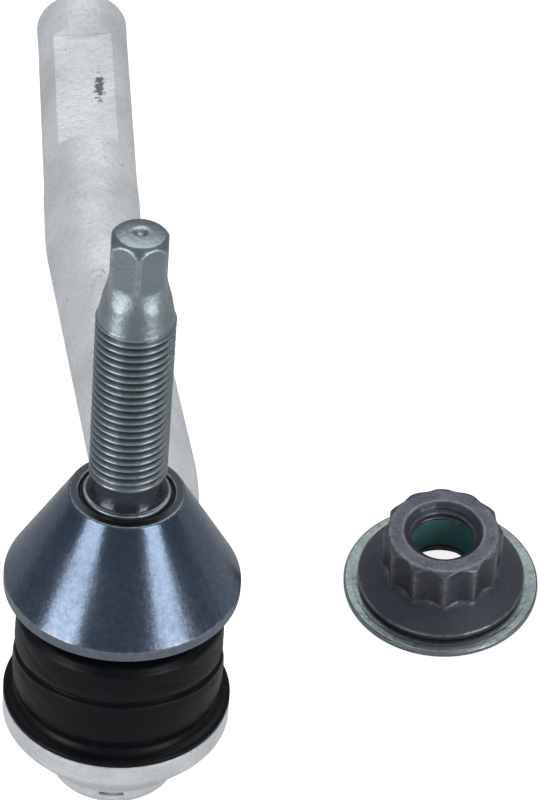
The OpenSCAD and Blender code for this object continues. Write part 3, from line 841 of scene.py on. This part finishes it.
def arm_surface(v, h):
    """Grid of the arm. At each station a ray at each angle, square to the centre line, meets the soft
    union of the arm's round section and the bowl; halving the ray's range again and again finds that
    point."""
    longest_ray, halvings = 45.0, 26
    _, _, total = arm_centre_line(v, np.array([0.0]))
    station = np.concatenate([np.arange(3.0, 44.0, 0.7), np.arange(44.0, total - v.chamfer - 0.3, 1.2),
                              [total - v.chamfer - 0.25, total - v.chamfer, total - 0.02]])
    at, heading, _ = arm_centre_line(v, station)
    angle = round_angles(120)
    across = np.column_stack([np.cos(heading), np.sin(heading)])
    radius = np.interp(station, [v.root_in, v.root_l], [v.root_r, v.radius])
    radius = radius - np.clip(station - (total - v.chamfer), 0, None)
    line = v.parting * np.exp(-(np.sin(angle) * v.radius / 1.5) ** 4)
    line = line * (1 - smooth_step(total - 62.0, total - 56.0, station))[:, None]
    profile = np.concatenate([bowl_profile(h), [[0.0, h.seat_z]]])
    ball = BALL / MM
    soft = (0.4 + v.fillet * smooth_step(9.0, 22.0, station))[:, None]
    low = np.zeros((len(station), angle.size))
    high = np.full_like(low, longest_ray)
    height = v.radius - ball[2]
    for _ in range(halvings):
        reach = (low + high) / 2
        side = reach * np.cos(angle)
        point = np.stack([at[:, :1] + side * across[:, :1], at[:, 1:] + side * across[:, 1:],
                          height + reach * np.sin(angle)], -1)
        local = point @ JOINT_AXES.T
        bowl = signed_distance(profile, np.hypot(local[..., 0], local[..., 1]), local[..., 2]) + 0.15
        inside = soft_min(bowl, reach - radius[:, None], soft) < 0
        low = np.where(inside, reach, low)
        high = np.where(inside, high, reach)
    skin = smooth_step(20.0, 34.0, station) * (1 - smooth_step(total - 6.0, total - 3.0, station))
    reach = low + line + 0.07 * skin[:, None] * (wavy(angle, station[:, None], 21, (2, 3, 5, 8)) - 1.0)
    side = reach * np.cos(angle)
    level = soft_max(v.radius + reach * np.sin(angle), 0.12, 0.3)
    grid = np.stack([ball[0] + at[:, :1] + side * across[:, :1], ball[1] + at[:, 1:] + side * across[:, 1:],
                     level], -1)
    caps = np.stack([np.broadcast_to([ball[0] + at[k, 0], ball[1] + at[k, 1], v.radius], grid[0].shape)
                     for k in (0, -1)])
    return np.concatenate([caps[:1], grid, caps[1:]])


def end_place(v):
    """The function that places points of the frame at the arm's end, whose +Z points into the arm."""
    _, _, total = arm_centre_line(v, np.array([0.0]))
    at, heading, _ = arm_centre_line(v, np.array([total]))
    sine, cosine = math.sin(heading[0]), math.cos(heading[0])
    axes = np.array([[cosine, sine, 0.0], [0.0, 0.0, 1.0], [sine, -cosine, 0.0]])
    origin = np.array([BALL[0] + at[0, 0] * MM, BALL[1] + at[0, 1] * MM, v.radius * MM])
    return lambda points: origin + points @ axes * MM


def housing_profile(h):
    """Outside of the whole housing: the bowl, and the neck with the boot's groove."""
    return np.concatenate([
        bowl_profile(h),
        [[h.neck_r - h.groove, h.seat_z], [h.neck_r - h.groove, h.seat_z + h.groove_h],
         [h.neck_r, h.seat_z + h.groove_h + 0.6], [h.neck_r, h.neck_top - 0.6],
         [h.neck_r - 0.6, h.neck_top], [0.0, h.neck_top]]])


def spot_cutter(v, h):
    """Flaring cut over the seat that clears the boot."""
    flare, deep = 3.5, 30
    spot = rounded([[0, h.seat_z], [v.spot_r, h.seat_z], [v.spot_r + flare, h.seat_z + deep],
                    [0, h.seat_z + deep]], 1.0)
    return turned_mesh("spot", spot, 192, joint_place)


def pocket_cutter(h):
    """Pocket of the pad, the bearing and the retaining ring, open at the neck's top."""
    a = np.radians(np.linspace(-90.0, 0.0, 16))[6:]
    pocket = np.concatenate([
        [[0, -h.pad_depth], [h.pad_r, -h.pad_depth],
         [h.pad_r, -math.sqrt(h.pocket_r ** 2 - h.pad_r ** 2)]],
        np.column_stack([h.pocket_r * np.cos(a), h.pocket_r * np.sin(a)]),
        [[h.pocket_r, h.keeper_z], [h.keeper_r, h.keeper_z], [h.keeper_r, h.keeper_z + h.keeper_t],
         [h.roll_r, h.keeper_z + h.keeper_t], [h.roll_r, h.neck_top + 2], [0, h.neck_top + 2]]])
    return turned_mesh("pocket", pocket, 96, joint_place)


def notch_cutter(h, low):
    """Slot in the boss's side, from the height low upwards."""
    deep, tall = 2.2, 0.8
    return box_mesh("notch", (-h.notch_w / 2, -h.boss_r - 1, low),
                    (h.notch_w / 2, -h.boss_r + deep, low + tall), joint_place)


def bore_cutter(place):
    """Threaded bore in the arm's end, with a mouth, a thread that fades in and out, and a drill point."""
    bore = MOUNTS["arm_thread"]["dims"]
    core, deep, mouth = bore["r_mm"], bore["length_mm"], 1.2
    columns, step = 72, PITCH / 12
    z = np.concatenate([np.arange(mouth, mouth + deep - 1.5, step), [mouth + deep]])[:, None]
    angle = round_angles(columns)
    fade = smooth_step(mouth, mouth + 1.0, z) * (1 - smooth_step(mouth + deep - 4, mouth + deep - 2, z))
    wall = core + BORE_THREAD_DEEP * thread(z, -angle, PITCH) * fade
    head = np.array([[0.0, -1.0], [core + mouth + 0.9, -1.0], [core + mouth + 0.9, -0.3]])
    radius = np.concatenate([np.repeat(head[:, :1], columns, 1), wall, np.zeros((1, columns))])
    height = np.concatenate([head[:, 1:], z, [[mouth + deep + core / 2]]])
    return finish_mesh("bore", polar(radius, height, angle), place)


def flat_cutter(v, place, side):
    """Box that cuts one wrench flat, on the side -1 or 1."""
    spare = 3
    near, far = sorted((side * v.flats_w / 2, side * (v.radius + spare)))
    return box_mesh("flat", (-v.radius - spare, near, v.flats_in),
                    (v.radius + spare, far, v.flats_in + v.flats_l), place)


def punch_cutter(v):
    """Round punch mark on top of the arm's slanted middle, a little to the left of its centre line."""
    aside, top = -1.6, 2 * v.radius
    at, _, _ = arm_centre_line(v, np.array([v.punch_at]))
    x, y = BALL[:2] / MM + at[0]
    ring = np.array([[v.punch_r * 0.45, top - 0.5], [v.punch_r * 0.85, top - 0.5],
                     [v.punch_r, top + 1], [v.punch_r * 0.3, top + 1]])
    return turned_mesh("punch", ring, 32, lambda p: (p + [x + aside, y, 0.0]) * MM, ring=True)


def settle_forging(forging):
    """Merges the corners that the cuts left side by side, and evens out the shading."""
    side_by_side, sharp_edge = 2e-6, math.radians(28)
    mesh = forging.data
    weld = bmesh.new()
    weld.from_mesh(mesh)
    bmesh.ops.remove_doubles(weld, verts=weld.verts, dist=side_by_side)
    bmesh.ops.triangulate(weld, faces=[f for f in weld.faces if len(f.verts) > 4])
    weld.to_mesh(mesh)
    weld.free()
    mesh.materials.clear()
    mesh.polygons.foreach_set("material_index", np.zeros(len(mesh.polygons), np.int32))
    mesh.shade_smooth()
    mesh.set_sharp_from_angle(angle=sharp_edge)
    even = forging.modifiers.new("even", "WEIGHTED_NORMAL")
    even.keep_sharp = True


def mark_notch(forging, h, low):
    """Stores which vertices lie on the notch's walls, as the attribute "grime": there the forging is painted dark
    as shade.
    """
    local = vertices_in(forging, BALL, JOINT_AXES)
    slot = (np.abs(local[:, 0]) < h.notch_w / 2 + 0.1) & (np.abs(local[:, 2] - low - 0.4) < 0.45)
    slot &= (local[:, 1] < -h.boss_r + 2.3) & (local[:, 1] > -h.boss_r + 1.0)
    store(forging, "grime", slot)


def make_forging(v, h):
    """Housing and arm as one forging, with its machined pocket, thread, flats, spot face and notch."""
    forging = turned_mesh("forging", finer(rounded(housing_profile(h), 0.25, 3), 1.2), 192, joint_place)
    arm = finish_mesh("arm", arm_surface(v, h), lambda p: p * MM)
    join_solids(arm, spot_cutter(v, h), "DIFFERENCE")
    join_solids(forging, arm, "UNION")
    join_solids(forging, pocket_cutter(h), "DIFFERENCE")
    notch_low = h.notch_up - h.boss_depth - 0.4
    join_solids(forging, notch_cutter(h, notch_low), "DIFFERENCE")
    place = end_place(v)
    join_solids(forging, bore_cutter(place), "DIFFERENCE")
    for side in (-1, 1):
        join_solids(forging, flat_cutter(v, place, side), "DIFFERENCE")
    join_solids(forging, punch_cutter(v), "DIFFERENCE")
    settle_forging(forging)
    mark_notch(forging, h, notch_low)
    return forging


# ---------------------------------------------------------------- stud, sleeve, boot, nut


def stud_profile(v, crest, low, high):
    """Profile of the stud without its thread and hexagon: ball with a flat, neck, collar, shank, fillet under the
    thread, rod, flare, stem, domed tip and the lathe's centre mark. The thread runs from low to high."""
    ball_flat, fillet_wide, fillet_deep = 1.0, 0.15, 0.95
    hex_z = high + v.flare_l
    tip = hex_z + v.hex_l
    half = v.hex_w / 2
    a = np.radians(np.linspace(-90 + 36, math.degrees(math.acos(v.neck_r / v.ball_r)), 40))
    ball = np.column_stack([v.ball_r * np.cos(a), v.ball_r * np.sin(a)])
    below = np.concatenate([
        [[0.0, -v.ball_r + ball_flat], [math.sqrt(2 * v.ball_r - ball_flat), -v.ball_r + ball_flat]],
        ball[4:],
        [[v.neck_r, v.collar_z], [v.collar_r - 0.4, v.collar_z], [v.collar_r, v.collar_z + 0.4],
         [v.collar_r, v.collar_z + v.collar_t], [v.shank_r, v.collar_z + v.collar_t],
         [v.shank_r, v.shank_top], [crest + fillet_wide, v.shank_top + 0.05]]])
    below = finer(rounded(below, 0.25, 3), 1.5)
    z = np.linspace(v.shank_top, low + 0.3, 14)[1:]
    t = (z - v.shank_top) / (low + 0.3 - v.shank_top)
    fillet = np.column_stack([crest + fillet_wide - fillet_deep * np.sin(t * math.pi / 2) ** 0.7, z])
    z = np.arange(low + 0.4, high, v.pitch / 12)
    rod = np.column_stack([np.full_like(z, crest), z])
    z = np.linspace(high, hex_z + 1.5, 34)
    t = np.clip((z - high) / v.flare_l, 0, 1)
    tip_r = half / math.cos(math.pi / 6) - 0.1
    flare = np.column_stack([tip_r + (crest - 0.15 - tip_r) * (1 - t) ** 1.35, z])
    z = np.linspace(hex_z + 1.8, tip - 3.9, 10)
    stem = np.column_stack([np.full_like(z, tip_r), z])
    dome = rounded([[tip_r, tip - 3.7], [tip_r, tip - 2.1], [half - 0.05, tip - 0.85],
                    [half - 0.6, tip - 0.32], [half - 1.8, tip - 0.09], [half - 2.9, tip]], 0.35, 4)
    centre = [[1.5, tip], [1.2, tip - 0.05], [0.8, tip - 0.5], [0.35, tip - 0.75], [0.0, tip - 0.8]]
    return np.concatenate([below, fillet, rod, flare, stem, finer(dome, 0.25), centre])


def mark_stud(stud, v, crest, low, high):
    """Stores the depth of the thread's roots, where shade is painted, as "root", and the fillet below the thread,
    painted dark as shade and reflection, as "oiled".
    """
    local = vertices_in(stud, BALL, JOINT_AXES)
    out = np.hypot(local[:, 0], local[:, 1])
    z = local[:, 2]
    in_thread = smooth_step(low, low + 2, z) * (1 - smooth_step(high - 1, high, z))
    store(stud, "root", np.clip((crest - 0.25 - out) / v.thread_deep * 1.3, 0, 1) * in_thread)
    # Painted shade and reflection: marks the fillet between the shank's top and the thread for its dark colour.
    dark = (1 - smooth_step(crest + 0.1, crest + 0.3, out)) * (z > v.shank_top - 0.2)
    store(stud, "oiled", dark * (1 - smooth_step(low + 0.2, low + 1.2, z)))


def make_stud(v):
    """Ball stud as one surface of revolution whose radius also carries the thread's helix and the tip's
    hexagon: radius = soft min(round profile - groove, hexagon(angle) + run-out(height))."""
    mount = MOUNTS["stud_thread"]
    crest = mount["dims"]["r_mm"]
    middle = float((np.array(mount["pos_m"]) - BALL) @ STUD_AXIS) / MM
    low, high = middle - mount["dims"]["length_mm"] / 2, middle + mount["dims"]["length_mm"] / 2
    hex_z = high + v.flare_l
    rows = stud_profile(v, crest, low, high)
    height, radius = rows[:, 1:], rows[:, :1]
    angle = round_angles(120)
    cut = smooth_step(low + 0.2, low + 2.0, height) * (1 - smooth_step(high - 1.2, high - 0.1, height))
    groove = (1 - thread(height, angle, v.pitch)) * cut
    turned = radius - v.thread_deep * groove
    flat = polygon_radius(angle, v.hex_w, 6, -math.pi / 2)
    run_out = np.clip(hex_z + 0.5 - height, 0, None) ** 2 / 9.0
    soft = 0.12 + 0.9 * (1 - smooth_step(hex_z - 3.0, hex_z + 1.5, height))
    facets = soft_min(turned, flat + run_out, soft)
    faceted = turned + (facets - turned) * smooth_step(high + 0.5, high + 3.0, height)
    turned = np.where(height > high, faceted, turned)
    stud = finish_mesh("ball_stud", polar(np.maximum(turned, 0), height, angle), joint_place)
    mark_wear(stud, 0.03, 1)
    mark_stud(stud, v, crest, low, high)
    return stud


def make_sleeve(v, stud):
    """Taper sleeve as a closed ring: lip, straight taper, flat land, seal groove, bore and recess."""
    bore = stud.shank_r + SNUG
    foot = stud.collar_z + stud.collar_t + SNUG
    points = [[bore, foot], [v.recess_r, foot], [v.recess_r, v.lip_z], [v.lip_r - 0.3, v.lip_z],
              [v.lip_r, v.lip_z + 0.3], [v.lip_r, v.lip_z + v.lip_h], [v.top_r, v.top_z],
              [stud.shank_r + v.seal_w, v.top_z], [stud.shank_r + v.seal_w, v.top_z - v.seal_h],
              [bore, v.top_z - v.seal_h]]
    ring = finer_ring(rounded(points, 0.28, 4, closed=True), 0.9)
    sleeve = turned_mesh("taper_sleeve", ring, 192, joint_place, ring=True)
    mark_wear(sleeve, 0.03, 1)
    local = vertices_in(sleeve, BALL, JOINT_AXES)
    out, z = np.hypot(local[:, 0], local[:, 1]), local[:, 2]
    lip = (1 - smooth_step(v.lip_z + v.lip_h - 0.15, v.lip_z + v.lip_h + 0.1, z)) * 0.6
    top = smooth_step(v.top_z - 0.2, v.top_z - 0.02, z)
    store(sleeve, "lip", lip * (out > v.recess_r))
    store(sleeve, "land", top * (out > stud.shank_r + v.seal_w - 0.05))
    return sleeve


def make_seal(v, stud):
    """Round-topped ring seal in the sleeve's groove."""
    low, high = v.top_z - v.seal_h + SNUG, v.top_z - 0.35
    inner, outer = stud.shank_r + SNUG, stud.shank_r + v.seal_w - SNUG
    ring = rounded([[inner, low], [outer, low], [outer, high], [inner, high]], 0.3, 5, closed=True)
    return turned_mesh("sleeve_seal", ring, 128, joint_place, ring=True)


def boot_profile(v, h, stud, low, bead_low):
    """Closed profile of the boot: flange, grip in the neck's groove, two soft folds, shoulder and bead."""
    grip = h.neck_r - h.groove + SNUG
    neck = stud.neck_r + RUNNING_FIT
    r, t = v.body_r, v.wall
    outside = [[grip, low], [v.flange_r, low], [v.flange_r, low + v.flange_t * 0.75],
               [v.flange_r - 0.5, low + v.flange_t], [r + 0.35, low + v.flange_t + 0.35],
               [r - 0.35, low + v.flange_t + 1.3], [r + 0.1, low + 4.2], [r + 0.35, low + 6.5],
               [r + 0.35, low + 9.0], [r + 0.1, low + 10.9], [r - 0.35, low + 11.35], [r - 0.3, low + 11.7],
               [r + 0.05, low + 13.4], [r, low + 15.6], [r - 0.15, bead_low - 2.0],
               [r - 1.1, bead_low - 0.6], [r - 3.6, bead_low + 0.5], [v.bead_r + 1, bead_low + 0.9],
               [v.bead_r, bead_low + 1.3], [v.bead_r, v.bead_top], [neck, v.bead_top],
               [neck, bead_low], [v.bead_r - 0.6, bead_low - 0.8],
               [r - t - 3.4, bead_low - 1.8], [r - t - 1.4, bead_low - 3.4]]
    inside = [[r - t + 0.1, low + 15.0], [r - t + 0.2, low + 12.4], [r - t - 0.1, low + 9.9],
              [r - t + 0.2, low + 6.0], [h.neck_r + 0.3, low + 4.4],
              [grip + 0.05, h.seat_z + h.groove_h - 0.2],
              [grip, h.seat_z + 3.0], [grip + 0.9, h.seat_z + 2.85], [grip + 0.9, h.seat_z + 0.35],
              [grip, h.seat_z + 0.3]]
    return rounded(outside + inside, 0.9, 5, closed=True)


def make_boot(v, h, stud):
    """Boot as a closed ring round its profile, with a crease between its folds and a fainter one near
    its foot. Its outside is a little uneven, and leans: higher on one side than on the other."""
    lean = -2.2
    low = h.seat_z + SNUG
    bead_low = v.bead_top - v.bead_h
    ring = finer_ring(boot_profile(v, h, stud, low, bead_low), 0.45)
    angle = round_angles(180)
    radius, height = ring[:, :1], ring[:, 1:]
    body = smooth_step(low + 2.0, low + 5.0, height) * (1 - smooth_step(bead_low - 4, bead_low - 1, height))
    body = body * (radius > v.body_r - 0.9)
    uneven = 0.10 * wavy(angle, height, 3, (2, 3, 5))
    uneven = uneven + 0.05 * wavy(angle + height * 0.11, height, 5, (9, 14, 23))
    crease = low + 11.5 + 0.12 * np.sin(2 * angle + 1.0) + 0.08 * np.sin(5 * angle)
    dip = np.exp(-((height - crease) / 0.22) ** 2) - 0.5 * np.exp(-((height - crease + 0.55) / 0.25) ** 2)
    second = np.exp(-((height - low - 3.4 - 0.15 * np.sin(3 * angle)) / 0.22) ** 2)
    lift = np.sin(np.clip((height - low - 2.5) / (bead_low - low - 3.5), 0, 1) * math.pi) ** 1.2
    lift = lean * np.sin(angle) * lift * (radius > h.neck_r + 0.5)
    radius = radius + body * (uneven - 0.22 * dip - 0.12 * second)
    return finish_mesh("boot", polar(radius, height + lift, angle), joint_place, ring=True)


def nut_profile(v, core, corner, patch_top):
    """Closed profile of the nut without its thread and star, and the number of the stretch that each
    point is in: 0 flange, 1 head, 2 crown, 3 countersink, 4 bore."""
    low, top = v.foot, v.foot + v.height
    mouth_r = core + v.mouth
    sink_low = top - v.mouth
    skirt = rounded([[v.hub_r - 1, 0.5], [v.hub_r, 0.5], [v.hub_r, low], [v.flange_r - 0.4, low],
                     [v.flange_r, low + 0.4], [v.flange_r, low + v.edge_h],
                     [v.flange_r - 1.2, low + v.edge_h + 0.75], [corner - 0.8, low + v.cone_h]], 0.35, 4)
    z = np.arange(low + v.cone_h + 0.2, top - 1.35, 0.6)
    head = np.column_stack([np.full_like(z, corner - 0.8), z])
    crown = finer([[corner - 0.1, top - 1.25], [corner - 0.2, top - 0.75], [corner - 0.7, top - 0.3],
                   [corner - 1.3, top - 0.05], [corner - 1.7, top], [mouth_r + 0.35, top],
                   [mouth_r + 0.05, top - 0.12]], 0.22)
    sink = finer([[mouth_r - 0.1, top - 0.25], [core + 0.05, sink_low]], 0.15)
    upper = np.arange(sink_low - 0.1, patch_top, -0.11)
    lower = np.arange(patch_top - v.patch_l - 0.05, 2.7, -0.11)
    bore = np.concatenate([
        np.column_stack([np.full_like(upper, core), upper]),
        [[core, patch_top], [v.major_r + SNUG, patch_top], [v.major_r + SNUG, patch_top - v.patch_l],
         [core, patch_top - v.patch_l]],
        np.column_stack([np.full_like(lower, core), lower]), [[v.hub_r - 1.1, 0.6]]])
    stretches = [finer(skirt, 0.5), head, crown, sink, bore]
    kind = np.repeat(np.arange(len(stretches)), [len(stretch) for stretch in stretches])[:, None]
    return np.concatenate(stretches), kind


def make_nut(v):
    """Flange nut as a closed ring round its profile. The flange is the soft max of cone and star, the
    head is the twelve-point star, the crown is their soft min, and the bore adds the thread's helix."""
    core = MOUNTS["nut_thread"]["dims"]["r_mm"]
    corner = v.width / 2 / math.cos(math.pi / 6)
    deep = v.major_r - core
    patch_top = v.foot + v.height - v.mouth - v.patch_in
    patch_low = patch_top - v.patch_l
    rows, kind = nut_profile(v, core, corner, patch_top)
    radius, height = rows[:, :1], rows[:, 1:]
    angle = round_angles(288)
    star = np.maximum(polygon_radius(angle, v.width, 6, 0.0),
                      polygon_radius(angle, v.width, 6, math.pi / 6))
    valley = v.width / 2 / math.cos(math.pi / 12)
    star = valley + soft_max(star - valley, 0.0, 0.5) - 0.02
    star = soft_min(star, corner - 0.2, 0.35)
    flange = np.where(height > v.foot + v.edge_h + 0.1, soft_max(radius, star, 0.9), radius)
    crown = soft_min(radius, star, 0.25)
    helix = deep * thread(height, angle, PITCH)
    above = smooth_step(patch_top - 0.05, patch_top + 0.3, height)
    below = 1 - smooth_step(patch_low - 0.3, patch_low + 0.05, height)
    bore = radius + helix * np.where(radius < core + 0.01, above + below, 0)
    sink = np.maximum(radius, core + helix)
    shape = np.select([kind == 0, kind == 1, kind == 2, kind == 3], [flange, star, crown, sink], bore)
    nut = finish_mesh("nut", polar(shape, height, angle), nut_place, ring=True)
    mark_wear(nut, 0.035, 2)
    return nut


def make_patch(v):
    """Locking patch: a thin sleeve in the nut's recess, with a soft uneven inner wall."""
    core = MOUNTS["nut_thread"]["dims"]["r_mm"]
    top = v.foot + v.height - v.mouth - v.patch_in - SNUG
    low = top - v.patch_l + 2 * SNUG
    wall = [[core, low], [v.major_r, low], [v.major_r, top], [core, top]]
    ring = finer_ring(rounded(wall, 0.25, 4, closed=True), 0.3)
    angle = round_angles(120)
    inner = ring[:, :1] < core + 0.3
    radius = ring[:, :1] + inner * 0.05 * wavy(angle, ring[:, 1:], 11, (3, 5, 8, 13))
    return finish_mesh("nut_locking_patch", polar(radius, ring[:, 1:], angle), nut_place, ring=True)


def make_washer(v):
    """Captive washer: a pressed disc with rounded edges and a slightly raised rim line."""
    bore = v.hub_r + RUNNING_FIT
    t = v.washer_t
    ring = rounded([[bore, 0.0], [v.washer_r - 0.3, 0.0], [v.washer_r, 0.3], [v.washer_r, t - 0.35],
                    [v.washer_r - 0.35, t], [v.washer_r - 1.5, t - 0.02], [v.washer_r - 1.9, t - 0.09],
                    [bore, t - 0.12]], 0.28, 4, closed=True)
    washer = turned_mesh("nut_washer", finer_ring(ring, 0.7), 192, nut_place, ring=True)
    mark_wear(washer, 0.03, 1)
    return washer


# ---------------------------------------------------------------- operators


class TIEROD_OT_forging(Operator):
    """Build the forged arm with its housing"""

    bl_idname = "tierod.forging"
    bl_label = "Forging"

    def execute(self, context):
        v, h = sizes(context.scene.tierod_arm), sizes(context.scene.tierod_housing)
        piece = make_forging(v, h)
        piece.data.materials.append(blasted_aluminium(v))
        stand_in(piece, "housing", "forged_aluminium", "forging", "arm_crank", "arm_shank")
        return {"FINISHED"}


class TIEROD_OT_stud(Operator):
    """Build the ball stud with its thread and hexagon tip"""

    bl_idname = "tierod.stud"
    bl_label = "Ball Stud"

    def execute(self, context):
        v = sizes(context.scene.tierod_stud)
        piece = make_stud(v)
        piece.data.materials.append(stud_steel(v))
        stand_in(piece, "stud", "stud_steel", "ball_stud")
        return {"FINISHED"}


class TIEROD_OT_sleeve(Operator):
    """Build the taper sleeve and its seal"""

    bl_idname = "tierod.sleeve"
    bl_label = "Taper Sleeve"

    def execute(self, context):
        v, stud = sizes(context.scene.tierod_sleeve), sizes(context.scene.tierod_stud)
        piece = make_sleeve(v, stud)
        piece.data.materials.append(sleeve_steel(v))
        stand_in(piece, "stud", "sleeve_steel", "taper_sleeve")
        seal = make_seal(v, stud)
        seal.data.materials.append(rubber("seal_rubber", v.rubber, 0.3))
        stand_in(seal, "stud", "seal_rubber", "sleeve_seal")
        return {"FINISHED"}


class TIEROD_OT_boot(Operator):
    """Build the rubber boot"""

    bl_idname = "tierod.boot"
    bl_label = "Boot"

    def execute(self, context):
        v, h = sizes(context.scene.tierod_boot), sizes(context.scene.tierod_housing)
        piece = make_boot(v, h, sizes(context.scene.tierod_stud))
        piece.data.materials.append(rubber("boot_rubber", v.rubber, 0.40))
        stand_in(piece, None, "boot_rubber", "boot")
        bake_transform(piece)
        return {"FINISHED"}


class TIEROD_OT_nut(Operator):
    """Build the twelve-point flange nut, its locking patch and its captive washer"""

    bl_idname = "tierod.nut"
    bl_label = "Flange Nut"

    def execute(self, context):
        v = sizes(context.scene.tierod_nut)
        piece = make_nut(v)
        piece.data.materials.append(phosphated_steel(v))
        stand_in(piece, "nut", "nut_phosphate", "nut")
        patch = make_patch(v)
        patch.data.materials.append(plastic("patch_nylon", v.nylon, 0.35))
        stand_in(patch, "nut", "patch_nylon", "nut_locking_patch")
        washer = make_washer(v)
        washer.data.materials.append(washer_zinc(v))
        stand_in(washer, "washer", "washer_zinc", "nut_washer")
        return {"FINISHED"}


class TIEROD_OT_inner(Operator):
    """Give the bearing, the pad and the rings inside the joint their finishes"""

    bl_idname = "tierod.inner"
    bl_label = "Inner Pieces"

    def execute(self, context):
        finishes = {
            "bearing_cup": plastic("bearing_plastic", (0.72, 0.69, 0.58, 1.0), 0.42),
            "preload_pad": rubber("pad_rubber", (0.03, 0.03, 0.03, 1.0), 0.6),
            "retaining_ring": plain_steel("ring_steel", (0.45, 0.46, 0.47, 1.0)),
        }
        finishes["bearing_collar"] = finishes["bearing_cup"]
        finishes["boot_band"] = finishes["retaining_ring"]
        finishes["boot_spring_ring"] = finishes["retaining_ring"]
        for node, material in finishes.items():
            for slot in frame["nodes"][node].material_slots:
                slot.material = material
        return {"FINISHED"}


class TIEROD_OT_stage(Operator):
    """Set up the pale floor, the soft studio lights and the camera"""

    bl_idname = "tierod.stage"
    bl_label = "Stage"

    def execute(self, context):
        scene = context.scene
        lay_floor(scene)
        light_room(scene)
        hang_lamps(scene)
        set_camera(scene)
        scene.view_settings.view_transform = "Standard"
        return {"FINISHED"}


def lay_floor(scene):
    """Pale floor that looks evenly lit to the camera."""
    half, under = 4.0, -0.0002
    corners = [(-half, -half, under), (half, -half, under), (-half, half, under), (half, half, under)]
    mesh = bpy.data.meshes.new("floor")
    mesh.from_pydata(corners, [], [(0, 1, 3, 2)])
    floor = bpy.data.objects.new("floor", mesh)
    scene.collection.objects.link(floor)
    material, tree, shader = new_material("pale_floor", 0.0, (0.9, 0.9, 0.9, 1.0), Roughness=0.9)
    shader["Base Color"].default_value = (0.62, 0.62, 0.62, 1.0)
    shader["Emission Color"].default_value = (1.0, 1.0, 1.0, 1.0)
    seen = add(tree, "ShaderNodeLightPath").outputs["Is Camera Ray"]
    tree.links.new(math_node(tree, "MULTIPLY", seen, 0.86), shader["Emission Strength"])
    mesh.materials.append(material)


def light_room(scene):
    """Weak cool light from all round."""
    world = scene.world or bpy.data.worlds.new("studio")
    scene.world = world
    world.use_nodes = True
    nodes = world.node_tree.nodes
    background = nodes.get("Background") or nodes.new("ShaderNodeBackground")
    background.inputs["Color"].default_value = (0.86, 0.92, 1.0, 1.0)
    background.inputs["Strength"].default_value = 0.24


def hang_lamps(scene):
    """The soft lamps round the object, each turned towards the lit point."""
    for name, azimuth, elevation, distance, width, height, power in LAMPS:
        a, e = math.radians(azimuth), math.radians(elevation)
        way = np.array([math.sin(a) * math.cos(e), -math.cos(a) * math.cos(e), math.sin(e)])
        light = bpy.data.lights.new(name, "AREA")
        light.shape = "RECTANGLE"
        light.size, light.size_y, light.energy = width, height, power
        lamp = bpy.data.objects.new(name, light)
        scene.collection.objects.link(lamp)
        place_facing(lamp, np.array(LIT_POINT) + way * distance, -way)


def set_camera(scene):
    """Camera that looks along +Y and down, with a slight roll."""
    lens = bpy.data.cameras.new("camera")
    lens.sensor_width, lens.sensor_fit, lens.lens = 36.0, "AUTO", CAMERA_LENS
    lens.clip_start, lens.clip_end = 0.01, 20.0
    camera = bpy.data.objects.new("camera", lens)
    scene.collection.objects.link(camera)
    down, roll = math.radians(CAMERA_DOWN), math.radians(CAMERA_ROLL)
    forward = np.array([0.0, math.cos(down), -math.sin(down)])
    right = np.array([1.0, 0.0, 0.0])
    up = np.cross(right, forward)
    turned_right = right * math.cos(roll) + up * math.sin(roll)
    turned_up = up * math.cos(roll) - right * math.sin(roll)
    placed = np.eye(4)
    placed[:3, 0], placed[:3, 1], placed[:3, 2] = turned_right, turned_up, -forward
    placed[:3, 3] = CAMERA_AT
    camera.matrix_world = Matrix(placed.tolist())
    scene.camera = camera


def place_facing(thing, position, way):
    """Places a lamp so that it shines along a direction, with its own up kept upright."""
    back = -np.asarray(way) / np.linalg.norm(way)
    right = np.cross([0.0, 0.0, 1.0], back)
    right = right / np.linalg.norm(right)
    placed = np.eye(4)
    placed[:3, 0], placed[:3, 1], placed[:3, 2] = right, np.cross(back, right), back
    placed[:3, 3] = position
    thing.matrix_world = Matrix(placed.tolist())


class TIEROD_PT_panel(Panel):
    """Lists the steps and their sizes"""

    bl_idname = "TIEROD_PT_panel"
    bl_label = "Tie Rod End"
    bl_space_type = "VIEW_3D"
    bl_region_type = "UI"
    bl_category = "Tie Rod"

    def draw(self, context):
        layout = self.layout
        for step in STEPS:
            layout.operator(step.bl_idname)
        for name in GROUPS:
            box = layout.box()
            group = getattr(context.scene, name)
            for prop in group.bl_rna.properties:
                if prop.identifier not in {"rna_type", "name"}:
                    box.prop(group, prop.identifier)


STEPS = (TIEROD_OT_forging, TIEROD_OT_stud, TIEROD_OT_sleeve, TIEROD_OT_boot, TIEROD_OT_nut,
         TIEROD_OT_inner, TIEROD_OT_stage)
GROUPS = {"tierod_arm": TIEROD_PG_arm, "tierod_housing": TIEROD_PG_housing, "tierod_stud": TIEROD_PG_stud,
          "tierod_sleeve": TIEROD_PG_sleeve, "tierod_boot": TIEROD_PG_boot, "tierod_nut": TIEROD_PG_nut}


def register():
    """Registers the property groups, the operators and the panel."""
    for name, group in GROUPS.items():
        bpy.utils.register_class(group)
        setattr(bpy.types.Scene, name, PointerProperty(type=group))
    for step in (*STEPS, TIEROD_PT_panel):
        bpy.utils.register_class(step)


def unregister():
    """Removes what register added."""
    for step in reversed((*STEPS, TIEROD_PT_panel)):
        bpy.utils.unregister_class(step)
    for name, group in GROUPS.items():
        delattr(bpy.types.Scene, name)
        bpy.utils.unregister_class(group)


def main():
    """Builds every piece in order."""
    register()
    bpy.ops.tierod.stage()
    bpy.ops.tierod.forging()
    bpy.ops.tierod.stud()
    bpy.ops.tierod.sleeve()
    bpy.ops.tierod.boot()
    bpy.ops.tierod.nut()
    bpy.ops.tierod.inner()


if __name__ == "__main__":
    main()
